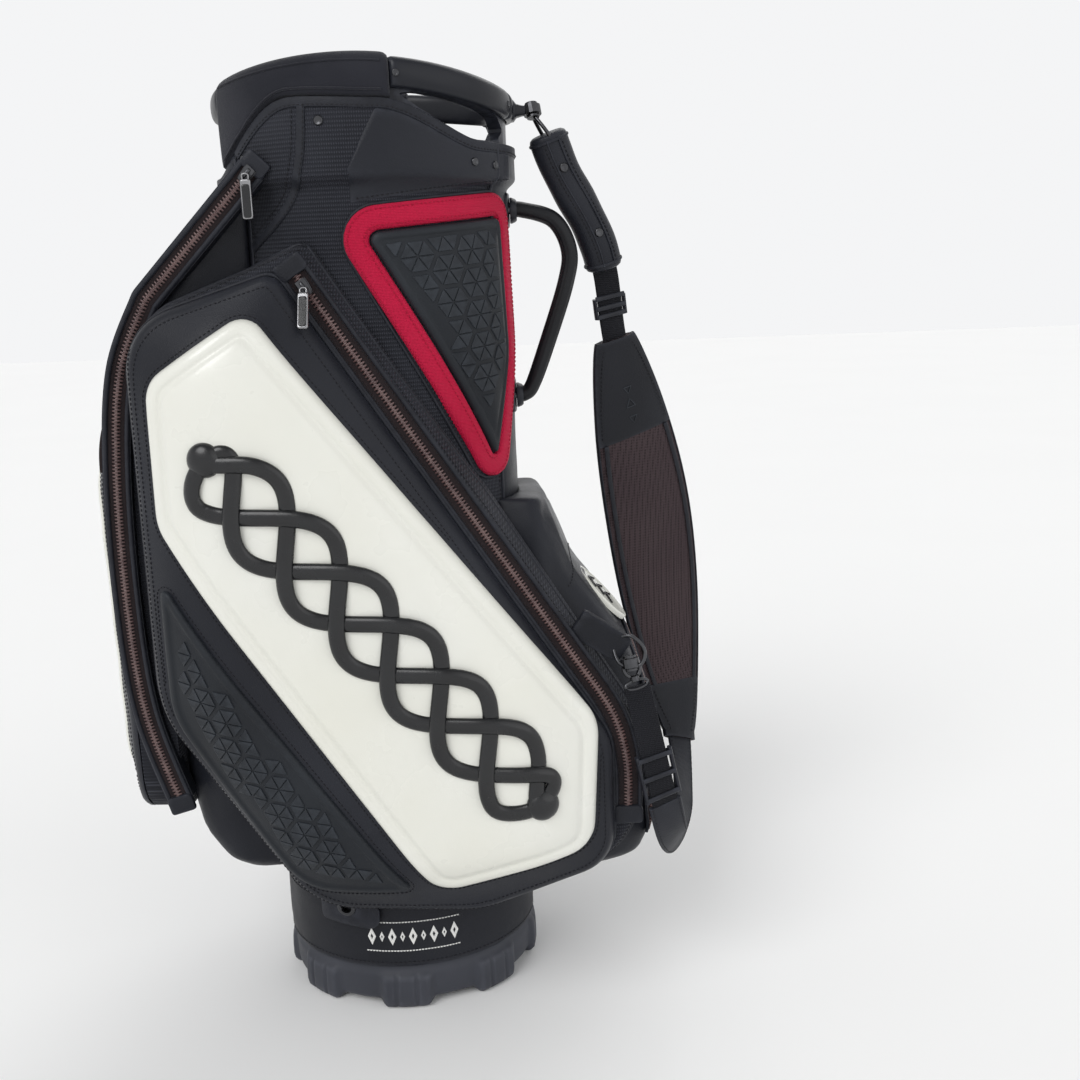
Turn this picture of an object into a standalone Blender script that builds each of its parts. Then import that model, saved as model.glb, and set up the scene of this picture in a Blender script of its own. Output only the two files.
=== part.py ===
"""Golf staff bag: an oval club tube in a moulded base, with a handled cuff, pockets and a shoulder strap.

Metres, +Z up. The origin is the middle of the base's flat underside. +X points to the spine, where the
strap and the carry handle are; -X is the ball pocket; -Y is the near side and +Y the far side, its mirror.
An angle round the tube is in degrees from +X, so the near side is at -90.
"""

import math

import bmesh
import bpy
from mathutils import Matrix, Vector
from mathutils.geometry import intersect_point_line

# ---------------------------------------------------------------- driving dimensions

RIM_TOP = 0.894  # height of the cuff's rim at the sides, its highest place
RIM_DIP_FRONT, RIM_DIP_SPINE = 0.80, 1.10  # the rim falls by this times the square of X
TUBE_X, TUBE_Y = 0.1300, 0.1150  # half-axes of the padded body's outside
BODY_WALL = 0.0105
LINER_WALL = 0.0025
GAP = 0.0005  # between pieces that touch in the real bag
SOFT_GAP = 0.0015  # between two curved soft faces, whose facets differ

BASE_TOP = 0.130
BASE_FLOOR = 0.022
BASE_X, BASE_Y = 0.1245, 0.1095  # outside of the base cup above its lugs
CUP_WALL = 0.005
BAND_LOW, BAND_HIGH = 0.046, 0.122
BAND_IN, BAND_OUT = 0.1250, 0.1290  # half-lengths of the band's inside and outside along X
BAND_ROUNDER = 0.015  # by how much the base and its band are narrower than long
BAND_EDGE = 0.002
LUG_COUNT = 8
LUG_FLANK = 1.6  # how steeply a lug rises from the gap beside it
# From the middle of the underside outwards and up: growth past BASE_X, height, and what a lug adds to each.
FOOT_PROFILE = [
    (-0.034, 0.0, 0.0, 0.0),
    (-0.030, 0.006, 0.0, 0.0),
    (-0.020, 0.006, 0.0, 0.0),
    (-0.016, 0.0, 0.0, 0.007),
    (-0.004, 0.0, 0.004, 0.007),
    (0.001, 0.010, 0.006, 0.0),
    (0.002, 0.036, 0.004, 0.0),
    (0.0, 0.043, 0.0, 0.0),
    (0.0, BASE_TOP, 0.0, 0.0),
    (-CUP_WALL, BASE_TOP, 0.0, 0.0),
    (-CUP_WALL, BASE_FLOOR, 0.0, 0.0),
]

SIDE_FROM, SIDE_TO = -142, -26  # degrees; the near panel of the body cover lies between these seams
SEAM_OPEN = 0.15  # degrees left open at each seam
FLARE_LOW, FLARE_HIGH = 0.7915, 0.8025  # the cover widens between these heights
# Degrees from the spine and height of the cover's upper edge there.
COVER_TOP = [(0, 0.830), (36, 0.830), (80, 0.863), (112, 0.866), (160, 0.808), (180, 0.808)]

CUFF_LOW = 0.8005
CUFF_X, CUFF_Y = 0.1315, 0.1165  # outside of the cuff ring
CUFF_WALL = 0.0125
FLARE = 0.0085  # how far the body widens to cover the cuff ring
ARCH_TALL = 0.020  # height of the cuff's lift handles above their openings
ARCH_OUT, ARCH_IN = 0.0078, 0.0030  # how far a lift handle stands out from the ring and into the mouth
PAD_OUT, PAD_IN = 0.0100, 0.0050  # the same for the soft pads
PAD_SKIRT = 0.033  # how far a pad hangs into the mouth
WINDOW_GAP = 0.002  # between the body cover's edge and a lift handle's opening
WINDOW_NEAR = (-71.0, -13.5)  # degrees
WINDOW_FRONT = (154.0, 206.0)
HANDLE_NEAR = (-74.8, -11.3)
HANDLE_FRONT = (152.0, 208.0)
PAD_NEAR = (-151.6, -75.2)
SPINE_CAP = (-10.9, 10.9)

DIVIDER_LOW, DIVIDER_HIGH = 0.812, 0.826
CELL_X = 0.036  # the two cross walls stand this far from the middle
CELL_BAR = 0.006  # half the width of the top frame's bars
CELL_RIM = 0.010  # width of the top frame's rim
SHEET = 0.003
SHEET_LONG = 0.1150  # half-length of the sheet that runs from the front to the spine
SHEET_CROSS = 0.0945  # where the cross sheets end

POCKET_EDGE_Y = 0.152  # near edge of the side pocket's cover
POCKET_MID_Y = 0.188  # its crown
GUSSET_Y = 0.136  # the step that the side zip lies on
GUSSET_EDGE = 0.006  # thickness of the side pocket's gusset at its seam
GUSSET_ROLL = 0.012
COVER_ROLL = 0.085  # how far in the cover's round edge reaches
WHITE_THICK, TEXTURE_THICK = 0.006, 0.0045
PANEL_ROLL = 0.006

SEAM_X = 0.100  # where the side pockets' seams leave the tube
SEAM_SLOPE = 0.30  # how fast the seams spread from there
TUBE_CLEAR = 0.0015  # between the tube's cover and the front and rear pockets
FLANK_CLEAR = 0.0012  # between those pockets' flanks and the seams
FLANK_ROUND, FLANK_SHARE = 0.045, 0.6  # most of the round corner's length, and its share of the depth
FLANK_NOSE = 0.22  # share of a flank's width that the round corner takes

ZIP_WIDE, ZIP_THICK = 0.022, 0.003
FRONT_ZIP_WIDE = 0.018
SLIDER = Vector((0.011, 0.015, 0.0045))
PULL = Vector((0.0095, 0.040, 0.0028))
PULL_HINGE = 0.002  # from the pull's upper end to its pivot
SIDE_SLIDER_AT, FRONT_SLIDER_AT = 0.04, 0.06  # shares of the first length of zip, from its top
SIDE_PULL_LIFT = 28  # degrees; the side zips' pulls rest on the rolled edges of the covers

STRAP_TOP = Vector((0.1570, 0.0, 0.8640))  # the strap's two swivels, on one axis
STRAP_FOOT = Vector((0.2270, -0.1380, 0.3620))
STRAP_TAB = Vector((0.0060, 0.020, 0.0035))
STRAP_TAB_X = 0.1437
STUD_RADIUS, STUD_HEAD, STUD_HALF, HEAD_THICK = 0.0035, 0.0060, 0.0050, 0.0020
BUSH_BORE, BUSH_RADIUS, BUSH_HALF = 0.0040, 0.0085, 0.0042
SLEEVE_ACROSS, SLEEVE_OUT = 0.019, 0.015  # half-axes of the rolled sleeve at the strap's top
PAD_END, PAD_BELLY = 0.044, 0.066  # width of the strap's pad at its ends, and what its middle adds
PAD_THICK = 0.012
WEB_THICK = 0.004
WEB_UPPER, WEB_LOWER, WEB_END = 0.032, 0.034, 0.020
BUCKLE_WIDE, BUCKLE_THICK = 0.038, 0.008

ROUND = 48  # facets round the tube
NEAR = Vector((0, -1, 0))
FLIP = Vector((1, -1, 1))  # turns a near-side place into the far side's

# ---------------------------------------------------------------- materials

COLOURS = {
    "black_pu": ((0.020, 0.021, 0.026), 0.42, 0.0),
    "woven_fabric": ((0.030, 0.031, 0.038), 0.75, 0.0),
    "cuff_fabric": ((0.024, 0.024, 0.028), 0.95, 0.0),
    "cuff_plastic": ((0.022, 0.023, 0.027), 0.38, 0.0),
    "base_plastic": ((0.035, 0.037, 0.045), 0.55, 0.0),
    "white_pu": ((0.86, 0.86, 0.80), 0.28, 0.0),
    "red_fabric": ((0.55, 0.012, 0.040), 0.55, 0.0),
    "textured_pu": ((0.030, 0.033, 0.036), 0.50, 0.0),
    "zip_coil": ((0.060, 0.035, 0.038), 0.45, 0.0),
    "slider_metal": ((0.42, 0.42, 0.42), 0.28, 1.0),
    "dark_metal": ((0.060, 0.062, 0.066), 0.30, 1.0),
    "webbing": ((0.012, 0.012, 0.015), 0.80, 0.0),
    "spacer_mesh": ((0.070, 0.048, 0.052), 0.90, 0.0),
    "liner": ((0.030, 0.030, 0.032), 0.60, 0.0),
    "divider_fabric": ((0.020, 0.020, 0.022), 0.95, 0.0),
}


def material(slot):
    made = bpy.data.materials.get(slot)
    if made:
        return made
    colour, roughness, metallic = COLOURS[slot]
    made = bpy.data.materials.new(slot)
    made.use_nodes = True
    shader = made.node_tree.nodes["Principled BSDF"]
    shader.inputs["Base Color"].default_value = (*colour, 1.0)
    shader.inputs["Roughness"].default_value = roughness
    shader.inputs["Metallic"].default_value = metallic
    made.diffuse_color = (*colour, 1.0)
    return made


# ---------------------------------------------------------------- building tools


def add_object(name, mesh, slot=None, smooth_below=35):
    """Links a mesh as the node called name. Without a slot it is a cutter, which the model leaves out."""
    obj = bpy.data.objects.new(name, mesh)
    bpy.context.scene.collection.objects.link(obj)
    if slot is None:
        obj.hide_render = True
        obj.display_type = "WIRE"
        return obj
    mesh.materials.append(material(slot))
    mesh.shade_smooth()
    mesh.set_sharp_from_angle(angle=math.radians(smooth_below))
    return obj


def loft(name, rings, slot=None, closed=False):
    """One solid through rings of equally many points: capped at both ends, or closed on itself."""
    shape = bmesh.new()
    loops = [[shape.verts.new(p) for p in ring] for ring in rings]
    count = len(loops[0])
    pairs = list(zip(loops, loops[1:]))
    if closed:
        pairs.append((loops[-1], loops[0]))
    for a, b in pairs:
        for i in range(count):
            j = (i + 1) % count
            shape.faces.new((a[i], a[j], b[j], b[i]))
    if not closed:
        shape.faces.new(loops[0])
        shape.faces.new(loops[-1])
    bmesh.ops.triangulate(shape, faces=[f for f in shape.faces if len(f.verts) > 3])
    bmesh.ops.recalc_face_normals(shape, faces=shape.faces)
    if shape.calc_volume(signed=True) < 0:
        bmesh.ops.reverse_faces(shape, faces=shape.faces)
    mesh = bpy.data.meshes.new(name)
    shape.to_mesh(mesh)
    shape.free()
    return add_object(name, mesh, slot)


def cut(obj, cutter):
    boolean = obj.modifiers.new(cutter.name, "BOOLEAN")
    boolean.operation = "DIFFERENCE"
    boolean.object = cutter
    boolean.solver = "EXACT"


def bevelled_box(name, size, slot, place, bevel=0.001, turn=None):
    """A box of that size centred on place, with rounded edges. turn is its rotation matrix."""
    shape = bmesh.new()
    bmesh.ops.create_cube(shape, size=1.0)
    bmesh.ops.scale(shape, vec=size, verts=shape.verts)
    if bevel:
        bmesh.ops.bevel(shape, geom=shape.edges[:], offset=bevel, segments=1, affect="EDGES")
    mesh = bpy.data.meshes.new(name)
    shape.to_mesh(mesh)
    shape.free()
    obj = add_object(name, mesh, slot)
    frame = turn.to_4x4() if turn else Matrix.Identity(4)
    obj.matrix_world = Matrix.Translation(place) @ frame
    return obj


def around(degrees, grow, z, half_x=TUBE_X, half_y=TUBE_Y):
    """A point on an oval round the tube's axis, grow metres outside the half-axes."""
    a = math.radians(degrees)
    return Vector(((half_x + grow) * math.cos(a), (half_y + grow) * math.sin(a), z))


def oval(half_x, half_y, z, count=ROUND):
    return [around(360 * i / count, 0, z, half_x, half_y) for i in range(count)]


def ease(value, keys):
    """Reads a curve through (place, height) keys, flat at each key and smooth between them."""
    if value <= keys[0][0]:
        return keys[0][1]
    for (x0, y0), (x1, y1) in zip(keys, keys[1:]):
        if value <= x1:
            t = (value - x0) / (x1 - x0)
            return y0 + (y1 - y0) * t * t * (3 - 2 * t)
    return keys[-1][1]


def rounded(corners, steps=4):
    """A closed outline through (u, v, radius) corners, each corner an arc of that many steps."""
    outline = []
    for i, (u, v, radius) in enumerate(corners):
        here = Vector((u, v))
        before = (Vector(corners[i - 1][:2]) - here).normalized()
        after = (Vector(corners[(i + 1) % len(corners)][:2]) - here).normalized()
        half = before.angle(after) / 2
        start = here + before * radius / math.tan(half)
        end = here + after * radius / math.tan(half)
        centre = here + (before + after).normalized() * radius / math.sin(half)
        for k in range(steps + 1):
            way = (start - centre).lerp(end - centre, k / steps).normalized()
            outline.append(centre + way * radius)
    return outline


def inset(corners, distance):
    """The corners of a convex outline that lies that far inside this one."""
    found = []
    for i, (u, v, radius) in enumerate(corners):
        here = Vector((u, v))
        before = (Vector(corners[i - 1][:2]) - here).normalized()
        after = (Vector(corners[(i + 1) % len(corners)][:2]) - here).normalized()
        place = here + (before + after).normalized() * distance / math.sin(before.angle(after) / 2)
        found.append((place.x, place.y, max(radius - distance, 0.002)))
    return found


def even(outline, count):
    """The outline again, as count points at equal distances."""
    sides = [(outline[i - 1] - p).length for i, p in enumerate(outline)]
    points = outline + [outline[0]]
    lengths = sides[1:] + sides[:1]
    total = sum(lengths)
    found = []
    side, passed = 0, 0.0
    for k in range(count):
        target = total * k / count
        while passed + lengths[side] < target:
            passed += lengths[side]
            side += 1
        share = (target - passed) / max(lengths[side], 1e-9)
        found.append(points[side].lerp(points[side + 1], share))
    return found


def inset_depth(outline, point):
    """How far a point inside the outline is from its nearest edge."""
    nearest = 1.0
    for i, end in enumerate(outline):
        place, share = intersect_point_line(point, outline[i - 1], end)
        place = (outline[i - 1], end, place.to_2d())[0 if share < 0 else 1 if share > 1 else 2]
        nearest = min(nearest, (point - place).length)
    return nearest


def crown(corners, point, roll):
    """0 on the edges of a convex polygon and 1 inside it, rolling over smoothly within roll metres."""
    height = 1.0
    for i, corner in enumerate(corners):
        start, end = Vector(corners[i - 1][:2]), Vector(corner[:2])
        along = (end - start).normalized()
        inset = abs(along.x * (point.y - start.y) - along.y * (point.x - start.x))
        t = min(inset / roll, 1.0)
        height *= 1 - (1 - t) ** 2
    return height


def towards_middle(outline, share):
    middle = sum(outline, Vector((0, 0))) / len(outline)
    return [middle + (p - middle) * share for p in outline]


def column_range(outline, u):
    """The lowest and highest v of a convex outline at u."""
    found = []
    for i, end in enumerate(outline):
        start = outline[i - 1]
        if (start.x - u) * (end.x - u) <= 0 and abs(start.x - end.x) > 1e-9:
            share = (u - start.x) / (end.x - start.x)
            found.append(start.y + (end.y - start.y) * share)
    return min(found), max(found)


COLUMN_SHARES = (0.0, 0.012, 0.04, 0.09, 0.17, 0.30, 0.50, 0.70, 0.83, 0.91, 0.96, 0.988, 1.0)
END_TRIM = 0.0006


def pad(name, outline, back, front, slot, place, step=0.016, roll_in=0.006):
    """A soft slab over a convex outline, built in upright columns so that its back can follow a tube.

    back(p) and front(p) give the depths of its two faces, and place maps (u, v) and a depth to a point.
    """
    low, high = min(p.x for p in outline) + END_TRIM, max(p.x for p in outline) - END_TRIM
    count = math.ceil((high - low - 2 * roll_in) / step)
    inner = [low + roll_in + (high - low - 2 * roll_in) * i / count for i in range(count + 1)]
    rings = []
    for u in [low] + inner + [high]:
        bottom, top = column_range(outline, u)
        column = [Vector((u, bottom + (top - bottom) * share)) for share in COLUMN_SHARES]
        ring = [place(p, front(p)) for p in column]
        ring += [place(p, back(p)) for p in reversed(column[::2])]
        rings.append(ring)
    return loft(name, rings, slot)


def dome(name, outline, back, front, slot, place):
    """A soft slab over an outline, on a flat back, built in rings that shrink towards its middle."""
    rings = [[place(p, back) for p in outline]]
    for share in (1.0, 0.97, 0.90, 0.78, 0.58, 0.30):
        rings.append([place(p, front(p)) for p in towards_middle(outline, share)])
    return loft(name, rings, slot)


def smooth_path(points, steps=4, closed=False):
    """A Catmull-Rom curve through the points, with that many steps between two of them."""
    found = []
    last = len(points) - 1
    for i in range(len(points) if closed else last):
        beside = [i + k for k in (-1, 0, 1, 2)]
        p = [points[k % len(points)] if closed else points[min(max(k, 0), last)] for k in beside]
        for k in range(steps):
            t = k / steps
            found.append(
                0.5
                * (
                    2 * p[1]
                    + (p[2] - p[0]) * t
                    + (2 * p[0] - 5 * p[1] + 4 * p[2] - p[3]) * t**2
                    + (3 * p[1] - p[0] - 3 * p[2] + p[3]) * t**3
                )
            )
    if not closed:
        found.append(points[-1].copy())
    return found


def sweep(name, path, section, slot, facing, closed=False):
    """A section of (across, out) points carried along a path. facing(i) is the way that out points."""
    rings = []
    count = len(path)
    for i, point in enumerate(path):
        before = path[i - 1] if closed or i else path[0]
        after = path[(i + 1) % count] if closed or i < count - 1 else path[-1]
        along = (after - before).normalized()
        out = facing(i)
        out = (out - along * out.dot(along)).normalized()
        across = along.cross(out)
        shape = section(i) if callable(section) else section
        rings.append([point + across * a + out * o for a, o in shape])
    return loft(name, rings, slot, closed)


def disc(radius_across, radius_out, count=8):
    return [
        (radius_across * math.cos(2 * math.pi * k / count), radius_out * math.sin(2 * math.pi * k / count))
        for k in range(count)
    ]


def flat_strip(wide, thick):
    return [(-wide / 2, 0), (wide / 2, 0), (wide / 2, thick), (-wide / 2, thick)]


def mirrored(name, source):
    """The far side's copy of a near-side node."""
    finished = source.evaluated_get(bpy.context.evaluated_depsgraph_get())
    mesh = bpy.data.meshes.new_from_object(finished)
    mesh.transform(Matrix.Scale(-1, 4, (0, 1, 0)))
    mesh.flip_normals()
    obj = bpy.data.objects.new(name, mesh)
    bpy.context.scene.collection.objects.link(obj)
    return obj


# ---------------------------------------------------------------- shared shapes


def rim_height(degrees):
    """Height of the cuff's rim: highest at the sides, lower at the front and lowest at the spine."""
    x = CUFF_X * math.cos(math.radians(degrees))
    return RIM_TOP - (RIM_DIP_FRONT if x < 0 else RIM_DIP_SPINE) * x * x


def cover_top(degrees):
    """Height of the body cover's upper edge, which dips under the three lift handles."""
    around_spine = abs((degrees + 180) % 360 - 180)
    return ease(around_spine, COVER_TOP)


def tube_depth(x):
    """How far from the middle plane the pockets' inner face is: on the tube, then on a slanting seam."""
    reach = min(abs(x), SEAM_X)
    on_oval = TUBE_Y * math.sqrt(1 - (reach / TUBE_X) ** 2)
    return on_oval + (abs(x) - reach) * SEAM_SLOPE


# ---------------------------------------------------------------- base


def lug(degrees):
    """1 on a lug of the foot and 0 between two, with sloping flanks."""
    wave = math.cos(math.radians(degrees * LUG_COUNT))
    return min(max(0.5 + LUG_FLANK * wave, 0.0), 1.0)


def make_base():
    count = 64
    angles = [360 * i / count for i in range(count)]
    rings = [
        [around(a, grow + lugs * lug(a), z + drop * (1 - lug(a)), BASE_X, BASE_Y) for a in angles]
        for grow, z, lugs, drop in FOOT_PROFILE
    ]
    loft("base_cup", rings, "base_plastic")

    section = [
        (BAND_IN, BAND_LOW),
        (BAND_OUT, BAND_LOW + BAND_EDGE),
        (BAND_OUT, BAND_HIGH - BAND_EDGE),
        (BAND_IN, BAND_HIGH),
    ]
    loft("base_band", [oval(half, half - BAND_ROUNDER, z) for half, z in section], "black_pu", closed=True)


# ---------------------------------------------------------------- tube and body cover


def make_tube():
    outer_x, outer_y = TUBE_X - BODY_WALL - GAP, TUBE_Y - BODY_WALL - GAP
    low, high = BASE_FLOOR + GAP, CUFF_LOW - GAP
    corners = [
        (outer_x, outer_y, low),
        (outer_x, outer_y, high),
        (outer_x - LINER_WALL, outer_y - LINER_WALL, high),
        (outer_x - LINER_WALL, outer_y - LINER_WALL, low),
    ]
    loft("liner_tube", [oval(*corner) for corner in corners], "liner", closed=True)


def body_panel(name, start, end, slot):
    """A quarter of the padded cover, sewn to its neighbours along upright seams."""
    low, step_z = BASE_TOP + GAP, CUFF_LOW - GAP
    steps = 12
    rings = []
    for i in range(steps + 1):
        a = start + SEAM_OPEN + (end - start - 2 * SEAM_OPEN) * i / steps
        top = cover_top(a)
        section = [
            (-BODY_WALL, low),
            (0.0, low),
            (0.0, FLARE_LOW),
            (FLARE, FLARE_HIGH),
            (FLARE, top),
            (CUFF_X - TUBE_X + GAP, top),
            (CUFF_X - TUBE_X + GAP, step_z),
            (-BODY_WALL, step_z),
        ]
        rings.append([around(a, grow, z) for grow, z in section])
    loft(name, rings, slot)


def make_body():
    body_panel("body_panel_near", SIDE_FROM, SIDE_TO, "woven_fabric")
    body_panel("body_panel_far", -SIDE_TO, -SIDE_FROM, "woven_fabric")
    body_panel("body_panel_front", -SIDE_FROM, 360 + SIDE_FROM, "black_pu")
    body_panel("spine_panel", SIDE_TO, -SIDE_TO, "black_pu")


# ---------------------------------------------------------------- cuff


def other_side(span):
    """The far side's range of angles, for a range on the near side."""
    return -span[1], -span[0]


def window_cutter(name, span):
    """Cuts a lift handle's opening through the cuff ring, with rounded ends."""
    start, end = span
    rings = []
    steps = 10
    for i in range(steps + 1):
        t = 0.002 + 0.996 * i / steps
        a = start + (end - start) * t
        low, high = cover_top(a) + WINDOW_GAP, rim_height(a) - ARCH_TALL
        half = (high - low) / 2 * (1 - abs(2 * t - 1) ** 4) ** 0.5
        middle = (high + low) / 2
        inside, outside = -2 * CUFF_WALL, CUFF_WALL
        corners = [
            (inside, middle - half),
            (outside, middle - half),
            (outside, middle + half),
            (inside, middle + half),
        ]
        rings.append([around(a, grow, z) for grow, z in corners])
    return loft(name, rings)


def saddle(name, span, section, slot, steps):
    """A piece that straddles the rim: section gives its (grow, z) corners at an angle."""
    start, end = span
    rings = []
    for i in range(steps + 1):
        a = start + (end - start) * i / steps
        rings.append([around(a, grow, z, CUFF_X, CUFF_Y) for grow, z in section(a)])
    loft(name, rings, slot)


def arch_section(a):
    """Section of a lift handle: a shell over the rim, open towards the ring, with softened corners."""
    rim = rim_height(a)
    low = rim - ARCH_TALL
    inside = -CUFF_WALL - GAP
    return [
        (GAP, low),
        (ARCH_OUT - 0.0008, low + 0.001),
        (ARCH_OUT, rim - 0.004),
        (ARCH_OUT - 0.0038, rim + 0.003),
        (inside - 0.001, rim + 0.003),
        (inside - ARCH_IN, rim - 0.002),
        (inside - ARCH_IN, low + 0.001),
        (inside, low),
        (inside, rim + GAP),
        (GAP, rim + GAP),
    ]


def pad_section(a):
    """Section of a soft pad: it covers the ring's outside and hangs a little way into the mouth."""
    rim = rim_height(a)
    low = cover_top(a) + WINDOW_GAP
    inside = -CUFF_WALL - GAP
    return [
        (GAP, low),
        (PAD_OUT - 0.001, low + 0.001),
        (PAD_OUT, rim - 0.004),
        (PAD_OUT / 2, rim + 0.005),
        (-PAD_OUT, rim + 0.006),
        (inside - PAD_IN, rim + 0.001),
        (inside - PAD_IN, rim - PAD_SKIRT + 0.001),
        (inside, rim - PAD_SKIRT),
        (inside, rim + GAP),
        (GAP, rim + GAP),
    ]


def make_cuff():
    count = 60
    angles = [360 * i / count for i in range(count)]
    outside_low = [around(a, 0, CUFF_LOW, CUFF_X, CUFF_Y) for a in angles]
    outside_top = [around(a, 0, rim_height(a), CUFF_X, CUFF_Y) for a in angles]
    inside_top = [around(a, -CUFF_WALL, rim_height(a), CUFF_X, CUFF_Y) for a in angles]
    inside_low = [around(a, -CUFF_WALL, CUFF_LOW, CUFF_X, CUFF_Y) for a in angles]
    ring = loft("cuff_ring", [outside_low, outside_top, inside_top, inside_low], "cuff_plastic", closed=True)
    cut(ring, window_cutter("cut_near", WINDOW_NEAR))
    cut(ring, window_cutter("cut_far", other_side(WINDOW_NEAR)))
    cut(ring, window_cutter("cut_front", WINDOW_FRONT))

    saddle("cuff_handle_near", HANDLE_NEAR, arch_section, "cuff_plastic", 12)
    saddle("cuff_handle_far", other_side(HANDLE_NEAR), arch_section, "cuff_plastic", 12)
    saddle("cuff_handle_front", HANDLE_FRONT, arch_section, "cuff_plastic", 10)
    saddle("cuff_pad_near", PAD_NEAR, pad_section, "cuff_fabric", 12)
    saddle("cuff_pad_far", other_side(PAD_NEAR), pad_section, "cuff_fabric", 12)
    saddle("cuff_spine_cap", SPINE_CAP, arch_section, "cuff_plastic", 4)


# ---------------------------------------------------------------- dividers


def cell_outline(low_x, high_x, half_x, half_y):
    """One club cell on the +Y side: a slice of the oval, clear of the long bar."""
    steps = 8
    edge = half_x * math.sqrt(1 - (CELL_BAR / half_y) ** 2) - 2 * GAP
    low_x, high_x = max(low_x, -edge), min(high_x, edge)
    points = []
    for i in range(steps + 1):
        x = low_x + (high_x - low_x) * i / steps
        points.append((x, max(half_y * math.sqrt(1 - (x / half_x) ** 2), CELL_BAR + GAP)))
    return points + [(high_x, CELL_BAR), (low_x, CELL_BAR)]


def make_dividers():
    half_x, half_y = CUFF_X - CUFF_WALL - 2 * GAP, CUFF_Y - CUFF_WALL - 2 * GAP
    levels = (DIVIDER_LOW, DIVIDER_HIGH)
    frame = loft("divider_frame", [oval(half_x, half_y, z) for z in levels], "divider_fabric")
    cut_levels = (DIVIDER_LOW - CELL_RIM, DIVIDER_HIGH + CELL_RIM)
    near, far = CELL_X - CELL_BAR, CELL_X + CELL_BAR
    for row, (low_x, high_x) in enumerate([(-half_x, -far), (-near, near), (far, half_x)]):
        outline = cell_outline(low_x, high_x, half_x - CELL_RIM, half_y - CELL_RIM)
        for side in (-1, 1):
            rings = [[Vector((x, side * y, z)) for x, y in outline] for z in cut_levels]
            cut(frame, loft(f"cut_cell_{row}_{side}", rings))

    low, high = BASE_FLOOR + SOFT_GAP + GAP, DIVIDER_LOW - GAP
    tall, middle = high - low, (high + low) / 2
    size = (2 * SHEET_LONG, SHEET, tall)
    bevelled_box("divider_sheet_long", size, "divider_fabric", Vector((0, 0, middle)), 0)
    start = SHEET / 2 + GAP
    for x_name, x in (("front", -CELL_X), ("rear", CELL_X)):
        for y_name, side in (("near", -1), ("far", 1)):
            size = (SHEET, SHEET_CROSS - start, tall)
            place = Vector((x, side * (SHEET_CROSS + start) / 2, middle))
            bevelled_box(f"divider_sheet_{x_name}_{y_name}", size, "divider_fabric", place, 0)


# ---------------------------------------------------------------- side pockets

COVER_CORNERS = [
    (-0.070, 0.722, 0.014),
    (-0.200, 0.682, 0.060),
    (-0.203, 0.335, 0.120),
    (-0.075, 0.135, 0.080),
    (0.080, 0.125, 0.100),
    (0.208, 0.170, 0.045),
    (0.208, 0.292, 0.060),
]
GUSSET_CORNERS = [
    (-0.045, 0.750, 0.012),
    (-0.203, 0.688, 0.060),
    (-0.206, 0.333, 0.120),
    (-0.076, 0.131, 0.080),
    (0.080, 0.121, 0.100),
    (0.236, 0.162, 0.085),
    (0.238, 0.306, 0.050),
]
WHITE_CORNERS = [
    (-0.090, 0.692, 0.020),
    (-0.180, 0.635, 0.030),
    (-0.182, 0.512, 0.040),
    (0.045, 0.158, 0.030),
    (0.188, 0.196, 0.030),
    (0.196, 0.315, 0.045),
]
TEXTURE_CORNERS = [
    (-0.186, 0.468, 0.006),
    (-0.190, 0.335, 0.080),
    (-0.085, 0.160, 0.050),
    (0.022, 0.162, 0.006),
]
ZIP_Y = -GUSSET_Y - GAP  # the back of the side zip
ZIP_TOP = Vector((-0.0540, ZIP_Y, 0.7235))
ZIP_TURN = Vector((0.1815, ZIP_Y, 0.3610))
ZIP_BEND = [
    Vector((0.2095, ZIP_Y, 0.3150)),
    Vector((0.2222, ZIP_Y, 0.2680)),
    Vector((0.2225, ZIP_Y, 0.2130)),
]


def near_side(p, depth):
    return Vector((p.x, -depth, p.y))


def cover_depth(p):
    """Depth of the side pocket's crowned cover at (x, z): a round edge, then a flatter middle."""
    return POCKET_EDGE_Y + (POCKET_MID_Y - POCKET_EDGE_Y) * crown(COVER_CORNERS, p, COVER_ROLL)


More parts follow.
